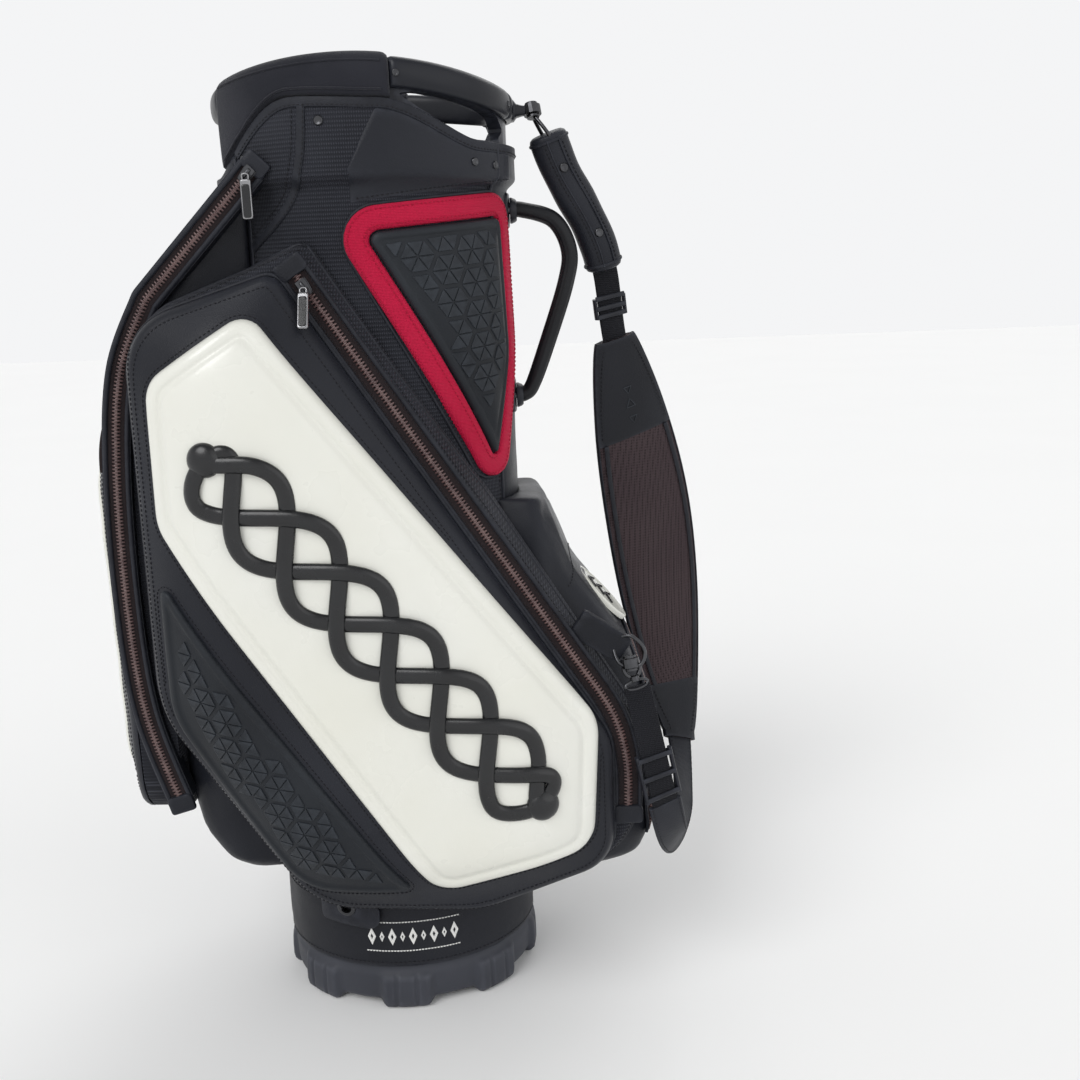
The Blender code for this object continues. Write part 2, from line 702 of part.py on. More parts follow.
def make_side_pockets():
    cover = even(rounded(COVER_CORNERS), 44)
    gusset = even(rounded(GUSSET_CORNERS), 44)

    def gusset_back(p):
        return tube_depth(p.x) + SOFT_GAP

    def gusset_front(p):
        edge = tube_depth(p.x) + GUSSET_EDGE
        t = min(inset_depth(gusset, p) / GUSSET_ROLL, 1.0)
        return edge + (GUSSET_Y - edge) * (1 - (1 - t) ** 2)

    made = pad("side_gusset_near", gusset, gusset_back, gusset_front, "black_pu", near_side)
    mirrored("side_gusset_far", made)

    made = pad("side_cover_near", cover, lambda p: GUSSET_Y + GAP, cover_depth, "black_pu", near_side)
    mirrored("side_cover_far", made)

    # Both panels are sewn on the cover, so the cover's own shape, a gap larger, shapes their backs.
    bed = pad("bed_near", cover, lambda p: TUBE_Y, lambda p: cover_depth(p) + GAP, None, near_side)
    for name, corners, slot, thick in (
        ("white_panel", WHITE_CORNERS, "white_pu", WHITE_THICK),
        ("texture_panel", TEXTURE_CORNERS, "textured_pu", TEXTURE_THICK),
    ):
        outline = even(rounded(corners), 36)

        def panel_front(p, outline=outline, thick=thick):
            lift = min(inset_depth(outline, p) / PANEL_ROLL, 1.0)
            return cover_depth(p) + thick * (0.5 + 0.5 * lift)

        made = pad(f"{name}_near", outline, lambda p: GUSSET_Y, panel_front, slot, near_side, 0.03)
        cut(made, bed)
        mirrored(f"{name}_far", made)

    path = [ZIP_TOP] + smooth_path([ZIP_TURN] + ZIP_BEND, 3)
    made = sweep("side_zip_near", path, flat_strip(ZIP_WIDE, ZIP_THICK), "zip_coil", lambda i: NEAR)
    mirrored("side_zip_far", made)


# ---------------------------------------------------------------- accent pads on the upper sides

ACCENT_CORNERS = [
    (-104.0, 0.772, 0.030),
    (-15.0, 0.7905, 0.030),
    (-9.5, 0.640, 0.100),
    (-31.0, 0.489, 0.026),
]
METRES_PER_DEGREE = 0.00215
ACCENT_LOW, BORDER_HIGH, ACCENT_HIGH = 0.0012, 0.0055, 0.0110  # heights above the body cover
BORDER_WIDE = 0.021
BORDER_BEVEL = 0.001
PAD_EDGE, ACCENT_ROLL = 0.005, 0.02


def on_tube(p, grow):
    """Maps (arc metres, z) to a point that far outside the body cover."""
    return around(p.x / METRES_PER_DEGREE, grow, p.y)


def make_accents():
    corners = [(a * METRES_PER_DEGREE, z, radius) for a, z, radius in ACCENT_CORNERS]

    def outline(distance):
        return even(rounded(inset(corners, distance)), 40)

    rings = [
        [on_tube(p, ACCENT_LOW) for p in outline(0.0)],
        [on_tube(p, BORDER_HIGH) for p in outline(BORDER_BEVEL)],
        [on_tube(p, BORDER_HIGH) for p in outline(BORDER_WIDE - BORDER_BEVEL)],
        [on_tube(p, ACCENT_LOW) for p in outline(BORDER_WIDE)],
    ]
    made = loft("accent_border_near", rings, "red_fabric", closed=True)
    mirrored("accent_border_far", made)

    filling = outline(BORDER_WIDE + ACCENT_LOW)

    def face(p):
        return PAD_EDGE + (ACCENT_HIGH - PAD_EDGE) * min(inset_depth(filling, p) / ACCENT_ROLL, 1.0)

    made = pad("accent_pad_near", filling, lambda p: ACCENT_LOW, face, "textured_pu", on_tube)
    mirrored("accent_pad_far", made)


# ---------------------------------------------------------------- front and rear pockets


# Height, reach along X and half-width.
FRONT_LEVELS = [
    (0.140, 0.150, 0.070),
    (0.150, 0.172, 0.086),
    (0.185, 0.196, 0.094),
    (0.240, 0.205, 0.098),
    (0.606, 0.205, 0.098),
    (0.612, 0.236, 0.098),
    (0.640, 0.232, 0.098),
    (0.680, 0.218, 0.097),
    (0.715, 0.200, 0.095),
    (0.750, 0.174, 0.092),
    (0.774, 0.152, 0.087),
    (0.784, 0.140, 0.082),
]
REAR_LEVELS = [
    (0.126, 0.205, 0.070),
    (0.136, 0.238, 0.086),
    (0.165, 0.250, 0.092),
    (0.250, 0.256, 0.094),
    (0.300, 0.252, 0.094),
    (0.345, 0.238, 0.092),
    (0.392, 0.206, 0.088),
    (0.430, 0.178, 0.082),
    (0.480, 0.160, 0.074),
    (0.506, 0.150, 0.064),
]


def pocket_section(side, reach_x, half_y, z):
    """Plan of a pocket on the front (side -1) or the rear (side 1) of the tube."""
    edge = min(tube_depth(SEAM_X) - 0.002, half_y - 0.004)
    steps = 6
    outline = []
    for i in range(steps + 1):
        y = -edge + 2 * edge * i / steps
        x = (TUBE_X + TUBE_CLEAR) * math.sqrt(1 - (y / (TUBE_Y + TUBE_CLEAR)) ** 2)
        outline.append((x, y))
    corner = max(reach_x - min(FLANK_ROUND, (reach_x - TUBE_X) * FLANK_SHARE), 0.135)
    # The flank follows the slanting seam that it shares with the side pocket.
    flank_y = min(half_y, tube_depth(corner) - FLANK_CLEAR)
    nose = []
    for k in range(4):
        t = math.pi / 2 * k / 3
        narrower = FLANK_NOSE * (1 - math.cos(t))
        nose.append((corner + (reach_x - corner) * math.sin(t), flank_y * (1 - narrower)))
    outline += nose + [(x, -y) for x, y in reversed(nose)]
    return [Vector((side * x, y, z)) for x, y in outline]


def make_front_pocket():
    loft("front_pocket", [pocket_section(-1, x, y, z) for z, x, y in FRONT_LEVELS], "black_pu")


BALL_CORNERS = [
    (-0.092, 0.205, 0.045),
    (0.092, 0.205, 0.045),
    (0.092, 0.600, 0.050),
    (-0.092, 0.600, 0.050),
]
BALL_BACK, BALL_RIM, BALL_FACE = 0.2065, 0.2440, 0.2740
BALL_WALL = 0.004
BALL_EDGE, BALL_ROLL = 0.005, 0.085  # the door's thickness at its edge, and how far in it rounds


def front_side(p, depth):
    return Vector((-depth, p.x, p.y))


def make_ball_pocket():
    outline = even(rounded(BALL_CORNERS), 36)
    inner = even(rounded(inset(BALL_CORNERS, BALL_WALL)), 36)
    floor = BALL_BACK + BALL_WALL
    rings = [
        [front_side(p, BALL_BACK) for p in towards_middle(outline, 0.5)],
        [front_side(p, BALL_BACK) for p in outline],
        [front_side(p, BALL_RIM) for p in outline],
        [front_side(p, BALL_RIM) for p in inner],
        [front_side(p, floor) for p in inner],
        [front_side(p, floor) for p in towards_middle(inner, 0.5)],
    ]
    loft("ball_pocket_gusset", rings, "woven_fabric")

    def face(p):
        return BALL_RIM + BALL_EDGE + (BALL_FACE - BALL_RIM - BALL_EDGE) * crown(BALL_CORNERS, p, BALL_ROLL)

    dome("ball_pocket_door", outline, BALL_RIM + GAP, face, "black_pu", front_side)


BADGE_PLACE = Vector((0.2105, 0, 0.3935))
BADGE_SLOPE = math.radians(48)  # of the rear pocket's top, from upright
BADGE_WIDE, BADGE_TALL, BADGE_THICK = 0.034, 0.036, 0.003  # half-axes and thickness


def make_rear_pocket():
    loft("rear_pocket", [pocket_section(1, x, y, z) for z, x, y in REAR_LEVELS], "black_pu")

    up = Vector((-math.cos(BADGE_SLOPE), 0, math.sin(BADGE_SLOPE)))
    out = Vector((math.sin(BADGE_SLOPE), 0, math.cos(BADGE_SLOPE)))

    def badge(p, depth):
        return BADGE_PLACE + Vector((0, p.x, 0)) + up * p.y + out * depth

    outline = [Vector(p) for p in disc(BADGE_WIDE, BADGE_TALL, 20)]
    dome("rear_badge", outline, 0.0, lambda p: BADGE_THICK, "white_pu", badge)


# ---------------------------------------------------------------- zips, sliders and pulls

FRONT_ZIP = [
    Vector((-0.086, -0.1045, 0.812)),
    Vector((-0.192, -0.0990, 0.703)),
    Vector((-0.221, -0.0985, 0.641)),
    Vector((-0.234, -0.0985, 0.550)),
    Vector((-0.238, -0.0985, 0.430)),
    Vector((-0.232, -0.0985, 0.320)),
    Vector((-0.207, -0.0985, 0.225)),
]


def make_zips():
    path = [FRONT_ZIP[0]] + smooth_path(FRONT_ZIP[1:], 3)
    made = sweep("front_zip_near", path, flat_strip(FRONT_ZIP_WIDE, ZIP_THICK), "zip_coil", lambda i: NEAR)
    mirrored("front_zip_far", made)


def slider(name, place, along, out, lift=0.0):
    """A zip slider, and the pull that hangs from its bridge, lifted that many degrees off the bag."""
    along, out = along.normalized(), out.normalized()
    turn = Matrix((along.cross(out), along, out)).transposed()
    bevelled_box(f"{name}_slider", SLIDER, "slider_metal", place + out * (SLIDER.z / 2 + GAP), 0.0012, turn)
    pivot = place + out * (SLIDER.z + GAP + PULL.z)
    down = Vector((0, 0, -1)) * math.cos(math.radians(lift)) + out * math.sin(math.radians(lift))
    side = Vector((0, 0, -1)).cross(out)
    turn = Matrix((side, down, side.cross(down))).transposed()
    middle = pivot + down * (PULL.y / 2 - PULL_HINGE)
    bevelled_box(f"{name}_pull", PULL, "slider_metal", middle, 0.0008, turn)


def make_sliders():
    lift = NEAR * ZIP_THICK
    place = ZIP_TOP.lerp(ZIP_TURN, SIDE_SLIDER_AT) + lift
    slider("side_near", place, ZIP_TOP - ZIP_TURN, NEAR, SIDE_PULL_LIFT)
    slider("side_far", place * FLIP, (ZIP_TOP - ZIP_TURN) * FLIP, NEAR * FLIP, SIDE_PULL_LIFT)
    place = FRONT_ZIP[0].lerp(FRONT_ZIP[1], FRONT_SLIDER_AT) + lift
    slider("front", place, FRONT_ZIP[0] - FRONT_ZIP[1], NEAR)


# ---------------------------------------------------------------- spine handle


HANDLE_ROUTE = [
    Vector((0.1325, 0, 0.7740)),
    Vector((0.1440, 0, 0.7745)),
    Vector((0.1740, 0, 0.7640)),
    Vector((0.1880, 0, 0.7360)),
    Vector((0.1840, 0, 0.7050)),
    Vector((0.1650, 0, 0.6500)),
    Vector((0.1490, 0, 0.6090)),
    Vector((0.1410, 0, 0.6000)),
    Vector((0.1325, 0, 0.5985)),
]
HANDLE_ACROSS, HANDLE_OUT = 0.0085, 0.0110  # half-axes of its section


def make_spine_handle():
    far = Vector((0, 1, 0))
    section = disc(HANDLE_ACROSS, HANDLE_OUT, 10)
    sweep("spine_handle", smooth_path(HANDLE_ROUTE, 3), section, "black_pu", lambda i: far)


# ---------------------------------------------------------------- shoulder strap

SWIVEL = (STRAP_FOOT - STRAP_TOP).normalized()  # the axis that the strap swings on


def turned(name, centre, axis, profile, slot, closed=False):
    """A round piece on an axis. Its profile is a list of radii and places along the axis."""
    side = axis.orthogonal().normalized()
    other = axis.cross(side)
    rings = [
        [centre + axis * along + side * x + other * y for x, y in disc(radius, radius, 16)]
        for radius, along in profile
    ]
    loft(name, rings, slot, closed)


def swivel(name, centre):
    """A pin with a head at each end, and the bush that turns on it."""
    end = STUD_HALF + HEAD_THICK
    pin = [
        (STUD_HEAD, -end),
        (STUD_HEAD, -STUD_HALF),
        (STUD_RADIUS, -STUD_HALF),
        (STUD_RADIUS, STUD_HALF),
        (STUD_HEAD, STUD_HALF),
        (STUD_HEAD, end),
    ]
    bush = [
        (BUSH_BORE, -BUSH_HALF),
        (BUSH_RADIUS, -BUSH_HALF),
        (BUSH_RADIUS, BUSH_HALF),
        (BUSH_BORE, BUSH_HALF),
    ]
    turned(f"strap_stud_{name}", centre, SWIVEL, pin, "dark_metal")
    turned(f"strap_swivel_{name}", centre, SWIVEL, bush, "dark_metal", closed=True)


STRAP_ROUTE = [
    Vector((0.1690, 0.0030, 0.8460)),
    Vector((0.1830, 0.0110, 0.8100)),
    Vector((0.2120, 0.0230, 0.7560)),
    Vector((0.2250, 0.0330, 0.7150)),
    Vector((0.2340, 0.0470, 0.6500)),
    Vector((0.2520, 0.0700, 0.5600)),
    Vector((0.2710, 0.0900, 0.4600)),
    Vector((0.2850, 0.1000, 0.3600)),
    Vector((0.2950, 0.0980, 0.2700)),
    Vector((0.3000, 0.0680, 0.2000)),
    Vector((0.2960, 0.0120, 0.1600)),
    Vector((0.2870, -0.0350, 0.1480)),
    Vector((0.2760, -0.0850, 0.1580)),
    Vector((0.2660, -0.1240, 0.1850)),
    Vector((0.2560, -0.1450, 0.2280)),
    Vector((0.2440, -0.1500, 0.2850)),
    Vector((0.2320, -0.1430, 0.3430)),
]
PAD_FIRST, PAD_LAST = 4, 9
STRAP_STEPS = 4
END_GAP = 0.12  # share of a step left open at each end of a length of strap


def strap_facing(point):
    """The way that the strap's outer face looks: away from the tube, turned a little to the near side."""
    return Vector((point.x - 0.10, point.y - 0.40, 0.0)).normalized()


def strap_piece(name, path, wide, thick, slot):
    """A length of strap centred on its path. wide is a number, or a width for each share of the length."""

    def section(i):
        width = wide(i / (len(path) - 1)) if callable(wide) else wide
        return [(a, o - thick / 2) for a, o in flat_strip(width, thick)]

    sweep(name, path, section, slot, lambda i: strap_facing(path[i]))


def pad_width(t):
    """Width of the strap's pad at that share of its length."""
    return PAD_END + PAD_BELLY * math.sin(math.pi * min(1.02 * t, 1.0)) ** 0.8


def make_strap():
    route = smooth_path(STRAP_ROUTE, STRAP_STEPS)

    def part_of(first, last):
        piece = route[first * STRAP_STEPS : last * STRAP_STEPS + 1]
        piece[0] = piece[0].lerp(piece[1], END_GAP)
        piece[-1] = piece[-1].lerp(piece[-2], END_GAP)
        return piece

    sleeve = part_of(0, 3)
    section = disc(SLEEVE_ACROSS, SLEEVE_OUT, 10)
    sweep("strap_roll", sleeve, section, "black_pu", lambda i: strap_facing(sleeve[i]))
    for name, first, last, wide, thick, slot in (
        ("strap_web_upper", 3, PAD_FIRST, WEB_UPPER, WEB_THICK, "webbing"),
        ("strap_pad", PAD_FIRST, PAD_LAST, pad_width, PAD_THICK, "spacer_mesh"),
        ("strap_web_lower", PAD_LAST, 14, WEB_LOWER, WEB_THICK, "webbing"),
        ("strap_buckle", 14, 15, BUCKLE_WIDE, BUCKLE_THICK, "cuff_plastic"),
        ("strap_web_end", 15, 16, WEB_END, WEB_THICK, "webbing"),
    ):
        strap_piece(name, part_of(first, last), wide, thick, slot)

    swivel("top", STRAP_TOP)
    swivel("foot", STRAP_FOOT)
    place = Vector((STRAP_TAB_X, 0, STRAP_TOP.z))
    bevelled_box("strap_tab_top", STRAP_TAB, "cuff_plastic", place, 0.0008)


# ---------------------------------------------------------------- the bag


def main():
    for obj in list(bpy.data.objects):
        bpy.data.objects.remove(obj)
    make_base()
    make_tube()
    make_body()
    make_cuff()
    make_dividers()
    make_side_pockets()
    make_accents()
    make_front_pocket()
    make_ball_pocket()
    make_rear_pocket()
    make_zips()
    make_sliders()
    make_spine_handle()
    make_strap()


main()
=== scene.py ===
"""Golf staff bag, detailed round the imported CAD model: sewn skins, zips, stitching, trim and materials.

Metres, +Z up, in the CAD's frame: +X is the spine and strap, -X the ball pocket, -Y the near side and
+Y its mirror. An angle round the tube is in degrees from +X, so the near side is at -90.
"""

import math

import bmesh
import bpy
from mathutils import Matrix, Vector, noise
from mathutils.bvhtree import BVHTree
from mathutils.geometry import intersect_point_line


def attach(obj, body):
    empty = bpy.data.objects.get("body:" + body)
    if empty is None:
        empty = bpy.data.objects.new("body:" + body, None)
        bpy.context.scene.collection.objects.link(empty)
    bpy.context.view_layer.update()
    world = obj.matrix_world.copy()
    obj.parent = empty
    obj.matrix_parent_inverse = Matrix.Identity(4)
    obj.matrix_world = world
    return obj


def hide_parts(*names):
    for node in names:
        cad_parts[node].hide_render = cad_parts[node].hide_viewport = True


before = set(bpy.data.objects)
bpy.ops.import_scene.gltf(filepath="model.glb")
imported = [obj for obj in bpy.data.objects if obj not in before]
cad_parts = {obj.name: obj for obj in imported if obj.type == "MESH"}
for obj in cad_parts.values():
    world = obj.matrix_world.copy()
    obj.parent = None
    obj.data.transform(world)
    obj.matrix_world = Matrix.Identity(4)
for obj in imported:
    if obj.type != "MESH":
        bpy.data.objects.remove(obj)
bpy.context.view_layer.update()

# ---------------------------------------------------------------- driving dimensions, as in the CAD

RIM_TOP = 0.894
TUBE_X, TUBE_Y = 0.1300, 0.1150
BODY_WALL = 0.0105
BASE_TOP = 0.130
BAND_LOW, BAND_HIGH = 0.046, 0.122
FOOT_X, FOOT_Y = 0.1245, 0.1095
LUGS = 8
CUFF_LOW = 0.8005
CUFF_X, CUFF_Y = 0.1315, 0.1165
CUFF_WALL = 0.0125
FLARE = 0.0085
FLARE_LOW, FLARE_HIGH = 0.7915, 0.8025
ARCH_TALL = 0.020
POCKET_EDGE_Y, POCKET_MID_Y = 0.152, 0.188
GUSSET_Y = 0.136
SEAM_X, SEAM_SLOPE = 0.100, 0.30
ZIP_THICK = 0.003
STRAP_TOP = Vector((0.1570, 0.0, 0.8640))
STRAP_FOOT = Vector((0.2270, -0.1380, 0.3620))
GAP = 0.0005
MM = 0.001
NEAR = Vector((0, -1, 0))
FLIP = Vector((1, -1, 1))

COVER = [
    (-0.070, 0.722, 0.014),
    (-0.200, 0.682, 0.060),
    (-0.203, 0.335, 0.120),
    (-0.075, 0.135, 0.080),
    (0.080, 0.125, 0.100),
    (0.208, 0.170, 0.045),
    (0.208, 0.292, 0.060),
]
GUSSET = [
    (-0.045, 0.750, 0.012),
    (-0.203, 0.688, 0.060),
    (-0.206, 0.333, 0.120),
    (-0.076, 0.131, 0.080),
    (0.080, 0.121, 0.100),
    (0.236, 0.162, 0.085),
    (0.238, 0.306, 0.050),
]
WHITE = [
    (-0.090, 0.692, 0.020),
    (-0.180, 0.635, 0.030),
    (-0.182, 0.512, 0.040),
    (0.045, 0.158, 0.030),
    (0.188, 0.196, 0.030),
    (0.196, 0.315, 0.045),
]
TEXTURE = [
    (-0.186, 0.468, 0.006),
    (-0.190, 0.335, 0.080),
    (-0.085, 0.160, 0.050),
    (0.022, 0.162, 0.006),
]
ARC_PER_DEGREE = 0.00215
ACCENT = [
    (-104.0 * ARC_PER_DEGREE, 0.772, 0.030),
    (-15.0 * ARC_PER_DEGREE, 0.7905, 0.030),
    (-9.5 * ARC_PER_DEGREE, 0.640, 0.100),
    (-31.0 * ARC_PER_DEGREE, 0.489, 0.026),
]
BALL = [
    (-0.092, 0.205, 0.045),
    (0.092, 0.205, 0.045),
    (0.092, 0.600, 0.050),
    (-0.092, 0.600, 0.050),
]
BALL_BACK, BALL_RIM, BALL_FACE = 0.2065, 0.2440, 0.2740
ZIP_Y = -GUSSET_Y - GAP
SIDE_ZIP = [
    Vector((-0.0540, ZIP_Y, 0.7235)),
    Vector((0.1815, ZIP_Y, 0.3610)),
    Vector((0.2095, ZIP_Y, 0.3150)),
    Vector((0.2222, ZIP_Y, 0.2680)),
    Vector((0.2225, ZIP_Y, 0.2130)),
]
FRONT_ZIP = [
    Vector((-0.086, -0.1045, 0.812)),
    Vector((-0.192, -0.0990, 0.703)),
    Vector((-0.221, -0.0985, 0.641)),
    Vector((-0.234, -0.0985, 0.550)),
    Vector((-0.238, -0.0985, 0.430)),
    Vector((-0.232, -0.0985, 0.320)),
    Vector((-0.207, -0.0985, 0.225)),
]
FRONT_LEVELS = [
    (0.140, 0.150, 0.070),
    (0.150, 0.172, 0.086),
    (0.185, 0.196, 0.094),
    (0.240, 0.205, 0.098),
    (0.606, 0.205, 0.098),
    (0.612, 0.236, 0.098),
    (0.640, 0.232, 0.098),
    (0.680, 0.218, 0.097),
    (0.715, 0.200, 0.095),
    (0.750, 0.174, 0.092),
    (0.774, 0.152, 0.087),
    (0.784, 0.140, 0.082),
]
REAR_LEVELS = [
    (0.126, 0.205, 0.070),
    (0.136, 0.238, 0.086),
    (0.165, 0.250, 0.092),
    (0.250, 0.256, 0.094),
    (0.300, 0.252, 0.094),
    (0.345, 0.238, 0.092),
    (0.392, 0.206, 0.088),
    (0.430, 0.178, 0.082),
    (0.480, 0.160, 0.074),
    (0.506, 0.150, 0.064),
]
HANDLE_ROUTE = [
    Vector((0.1325, 0, 0.7740)),
    Vector((0.1440, 0, 0.7745)),
    Vector((0.1740, 0, 0.7640)),
    Vector((0.1880, 0, 0.7360)),
    Vector((0.1840, 0, 0.7050)),
    Vector((0.1650, 0, 0.6500)),
    Vector((0.1490, 0, 0.6090)),
    Vector((0.1410, 0, 0.6000)),
    Vector((0.1325, 0, 0.5985)),
]
STRAP_ROUTE = [
    Vector((0.1690, 0.0030, 0.8460)),
    Vector((0.1830, 0.0110, 0.8100)),
    Vector((0.2120, 0.0230, 0.7560)),
    Vector((0.2250, 0.0330, 0.7150)),
    Vector((0.2340, 0.0470, 0.6500)),
    Vector((0.2520, 0.0700, 0.5600)),
    Vector((0.2710, 0.0900, 0.4600)),
    Vector((0.2850, 0.1000, 0.3600)),
    Vector((0.2950, 0.0980, 0.2700)),
    Vector((0.3000, 0.0680, 0.2000)),
    Vector((0.2960, 0.0120, 0.1600)),
    Vector((0.2870, -0.0350, 0.1480)),
    Vector((0.2760, -0.0850, 0.1580)),
    Vector((0.2660, -0.1240, 0.1850)),
    Vector((0.2560, -0.1450, 0.2280)),
    Vector((0.2440, -0.1500, 0.2850)),
    Vector((0.2320, -0.1430, 0.3430)),
]

# ---------------------------------------------------------------- materials


class Shade:
    """A Principled material with a few node shortcuts. Coordinates are the CAD's, in metres."""

    def __init__(self, name, colour, rough, metal=0.0, coat=0.0, sheen=0.0, specular=0.5):
        self.made = bpy.data.materials.new(name)
        self.made.use_nodes = True
        self.tree = self.made.node_tree
        self.shader = self.tree.nodes["Principled BSDF"]
        self.colour, self.rough = colour, rough
        values = {
            "Base Color": (*colour, 1.0),
            "Roughness": rough,
            "Metallic": metal,
            "Coat Weight": coat,
            "Coat Roughness": 0.12,
            "Sheen Weight": sheen,
            "Sheen Roughness": 0.35,
            "Specular IOR Level": specular,
        }
        for socket, value in values.items():
            self.shader.inputs[socket].default_value = value
        self.made.diffuse_color = (*colour, 1.0)
        self.place = self.add("ShaderNodeTexCoord").outputs["Object"]

    def add(self, kind, inputs=None, **settings):
        node = self.tree.nodes.new(kind)
        for key, value in settings.items():
            setattr(node, key, value)
        for key, value in (inputs or {}).items():
            if isinstance(value, bpy.types.NodeSocket):
                self.tree.links.new(value, node.inputs[key])
            else:
                node.inputs[key].default_value = value
        return node

    def math(self, operation, *values):
        return self.add("ShaderNodeMath", dict(enumerate(values)), operation=operation).outputs[0]

    def flat(self, kind):
        """Two coordinates in the surface: on a side, on the front, on the strap or else round the tube."""
        split = self.add("ShaderNodeSeparateXYZ", {0: self.place}).outputs
        if kind == "side":
            return split[0], split[2]
        if kind == "front":
            return split[1], split[2]
        if kind == "strap":
            along_x, along_y = self.math("MULTIPLY", split[0], 0.8), self.math("MULTIPLY", split[1], 0.6)
            return self.math("ADD", along_x, along_y), split[2]
        turned = self.math("ARCTAN2", split[1], split[0])
        return self.math("MULTIPLY", turned, TUBE_X), split[2]

    def wave(self, a, pitch):
        return self.math("SINE", self.math("MULTIPLY", a, 2 * math.pi / pitch))

    def cross_weave(self, kind, pitch, lean):
        """A diamond weave: two slanting families of ridges, as a height from -1 to 1."""
        u, v = self.flat(kind)
        tilted = self.math("MULTIPLY", v, lean)
        return self.math(
            "MULTIPLY",
            self.wave(self.math("ADD", u, tilted), pitch),
            self.wave(self.math("SUBTRACT", u, tilted), pitch),
        )

    def cloud(self, scale, detail=3.0):
        found = self.add("ShaderNodeTexNoise", {"Vector": self.place, "Scale": scale, "Detail": detail})
        return found.outputs[0]

    def cells(self, scale, feature="F1", regular=False):
        found = self.add("ShaderNodeTexVoronoi", {"Vector": self.place, "Scale": scale}, feature=feature)
        if regular:
            found.inputs["Randomness"].default_value = 0.0
        return found.outputs["Distance"]

    def spread(self, value, low, high, to_low, to_high):
        return self.add(
            "ShaderNodeMapRange",
            {"Value": value, "From Min": low, "From Max": high, "To Min": to_low, "To Max": to_high},
        ).outputs[0]

    def tint(self, share, other, strength=1.0):
        """Mixes the colour that the surface has so far towards another where share is 1."""
        socket = self.shader.inputs["Base Color"]
        mixed = self.add("ShaderNodeMix", data_type="RGBA")
        if socket.links:
            self.tree.links.new(socket.links[0].from_socket, mixed.inputs[6])
        else:
            mixed.inputs[6].default_value = socket.default_value
        mixed.inputs[7].default_value = (*other, 1.0)
        amount = self.math("MULTIPLY", share, strength)
        self.tree.links.new(amount, mixed.inputs[0])
        self.tree.links.new(mixed.outputs[2], socket)
        return self

    def soil(self, other, scale=9.0, strength=0.6, rough_by=0.10):
        """Slow changes of colour and gloss over the surface."""
        cloud = self.cloud(scale)
        share = self.spread(cloud, 0.35, 0.70, 0.0, 1.0)
        self.tint(share, other, strength)
        rough = self.spread(self.cloud(scale * 4), 0.3, 0.7, self.rough - rough_by, self.rough + rough_by)
        self.tree.links.new(rough, self.shader.inputs["Roughness"])
        return self

    def edge_wear_and_highlight(self, other, strength=0.6):
        """Lighter along outside edges: wear where hands and floors rub, and on the zip teeth a painted
        highlight.
        """
        sharp = self.add("ShaderNodeNewGeometry").outputs["Pointiness"]
        edge = self.spread(sharp, 0.515, 0.60, 0.0, 1.0)
        broken = self.math("MULTIPLY", edge, self.spread(self.cloud(120.0), 0.35, 0.6, 0.3, 1.0))
        return self.tint(broken, other, strength)

    def relief(self, height, distance, strength=1.0):
        """Adds a height to the surface's bump."""
        socket = self.shader.inputs["Normal"]
        bump = self.add("ShaderNodeBump", {"Height": height, "Distance": distance, "Strength": strength})
        if socket.links:
            self.tree.links.new(socket.links[0].from_socket, bump.inputs["Normal"])
        self.tree.links.new(bump.outputs[0], socket)
        return self


def leather(name, colour, rough, grain=1100.0, deep=0.00022, light=(0.025, 0.027, 0.035)):
    made = Shade(name, colour, rough, specular=0.19)
    made.soil(light, 7.0, 0.55, 0.07)
    made.relief(made.cells(grain, "SMOOTH_F1"), deep)
    made.relief(made.cloud(38.0, 4.0), 0.0010, 0.35)
    return made.edge_wear_and_highlight(tuple(2.4 * c for c in light), 0.40)


def woven(name, colour, light, kind, pitch, lean, rough=0.72, deep=0.0005, sheen=0.04):
    made = Shade(name, colour, rough, sheen=sheen, specular=0.14)
    height = made.cross_weave(kind, pitch, lean)
    made.soil(light, 11.0, 0.35, 0.05)
    made.tint(made.spread(height, 0.0, 1.0, 0.0, 1.0), light, 0.75)
    made.relief(height, deep)
    made.relief(made.cloud(900.0, 2.0), 0.0003, 0.5)
    return made


def weave(name, kind):
    """The bag's diamond weave, laid out for one of its sides."""
    return woven(name, (0.0120, 0.0128, 0.0172), (0.052, 0.055, 0.068), kind, 0.0044, 0.62)


def thread(name, colour, light, kind="side", rough=0.5):
    return woven(name, colour, light, kind, 0.0012, 1.0, rough, 0.0001)


def moulded(name, colour, rough, light):
    made = Shade(name, colour, rough, specular=0.24)
    made.soil(light, 10.0, 0.4, 0.06)
    made.relief(made.cloud(700.0, 3.0), 0.00012, 0.7)
    return made.edge_wear_and_highlight(tuple(2.2 * c for c in light), 0.5)


def metal(name, colour, rough):
    made = Shade(name, colour, rough, metal=1.0)
    made.soil(tuple(0.55 * c for c in colour), 60.0, 0.5, 0.07)
    made.relief(made.cloud(1500.0, 2.0), 0.00004, 0.5)
    return made


def white_foam():
    made = Shade("white_foam_skin", (0.74, 0.742, 0.69), 0.30, coat=0.25)
    made.soil((0.69, 0.685, 0.60), 6.0, 0.6, 0.06)
    made.relief(made.cells(1500.0, "SMOOTH_F1"), 0.00006)
    return made.relief(made.cloud(30.0, 3.0), 0.0006, 0.25)


def braid_gloss():
    made = Shade("braid_gloss", (0.0045, 0.0047, 0.0056), 0.24, coat=0.25, specular=0.4)
    made.soil((0.012, 0.013, 0.015), 25.0, 0.5, 0.06)
    return made.relief(made.cells(1800.0), 0.00006)


def zip_teeth():
    made = Shade("zip_teeth", (0.042, 0.0155, 0.0175), 0.34, specular=0.5)
    made.soil((0.085, 0.042, 0.042), 70.0, 0.8, 0.08)
    # The teeth's lighter edges are a painted highlight.
    return made.edge_wear_and_highlight((0.19, 0.12, 0.11), 0.5)


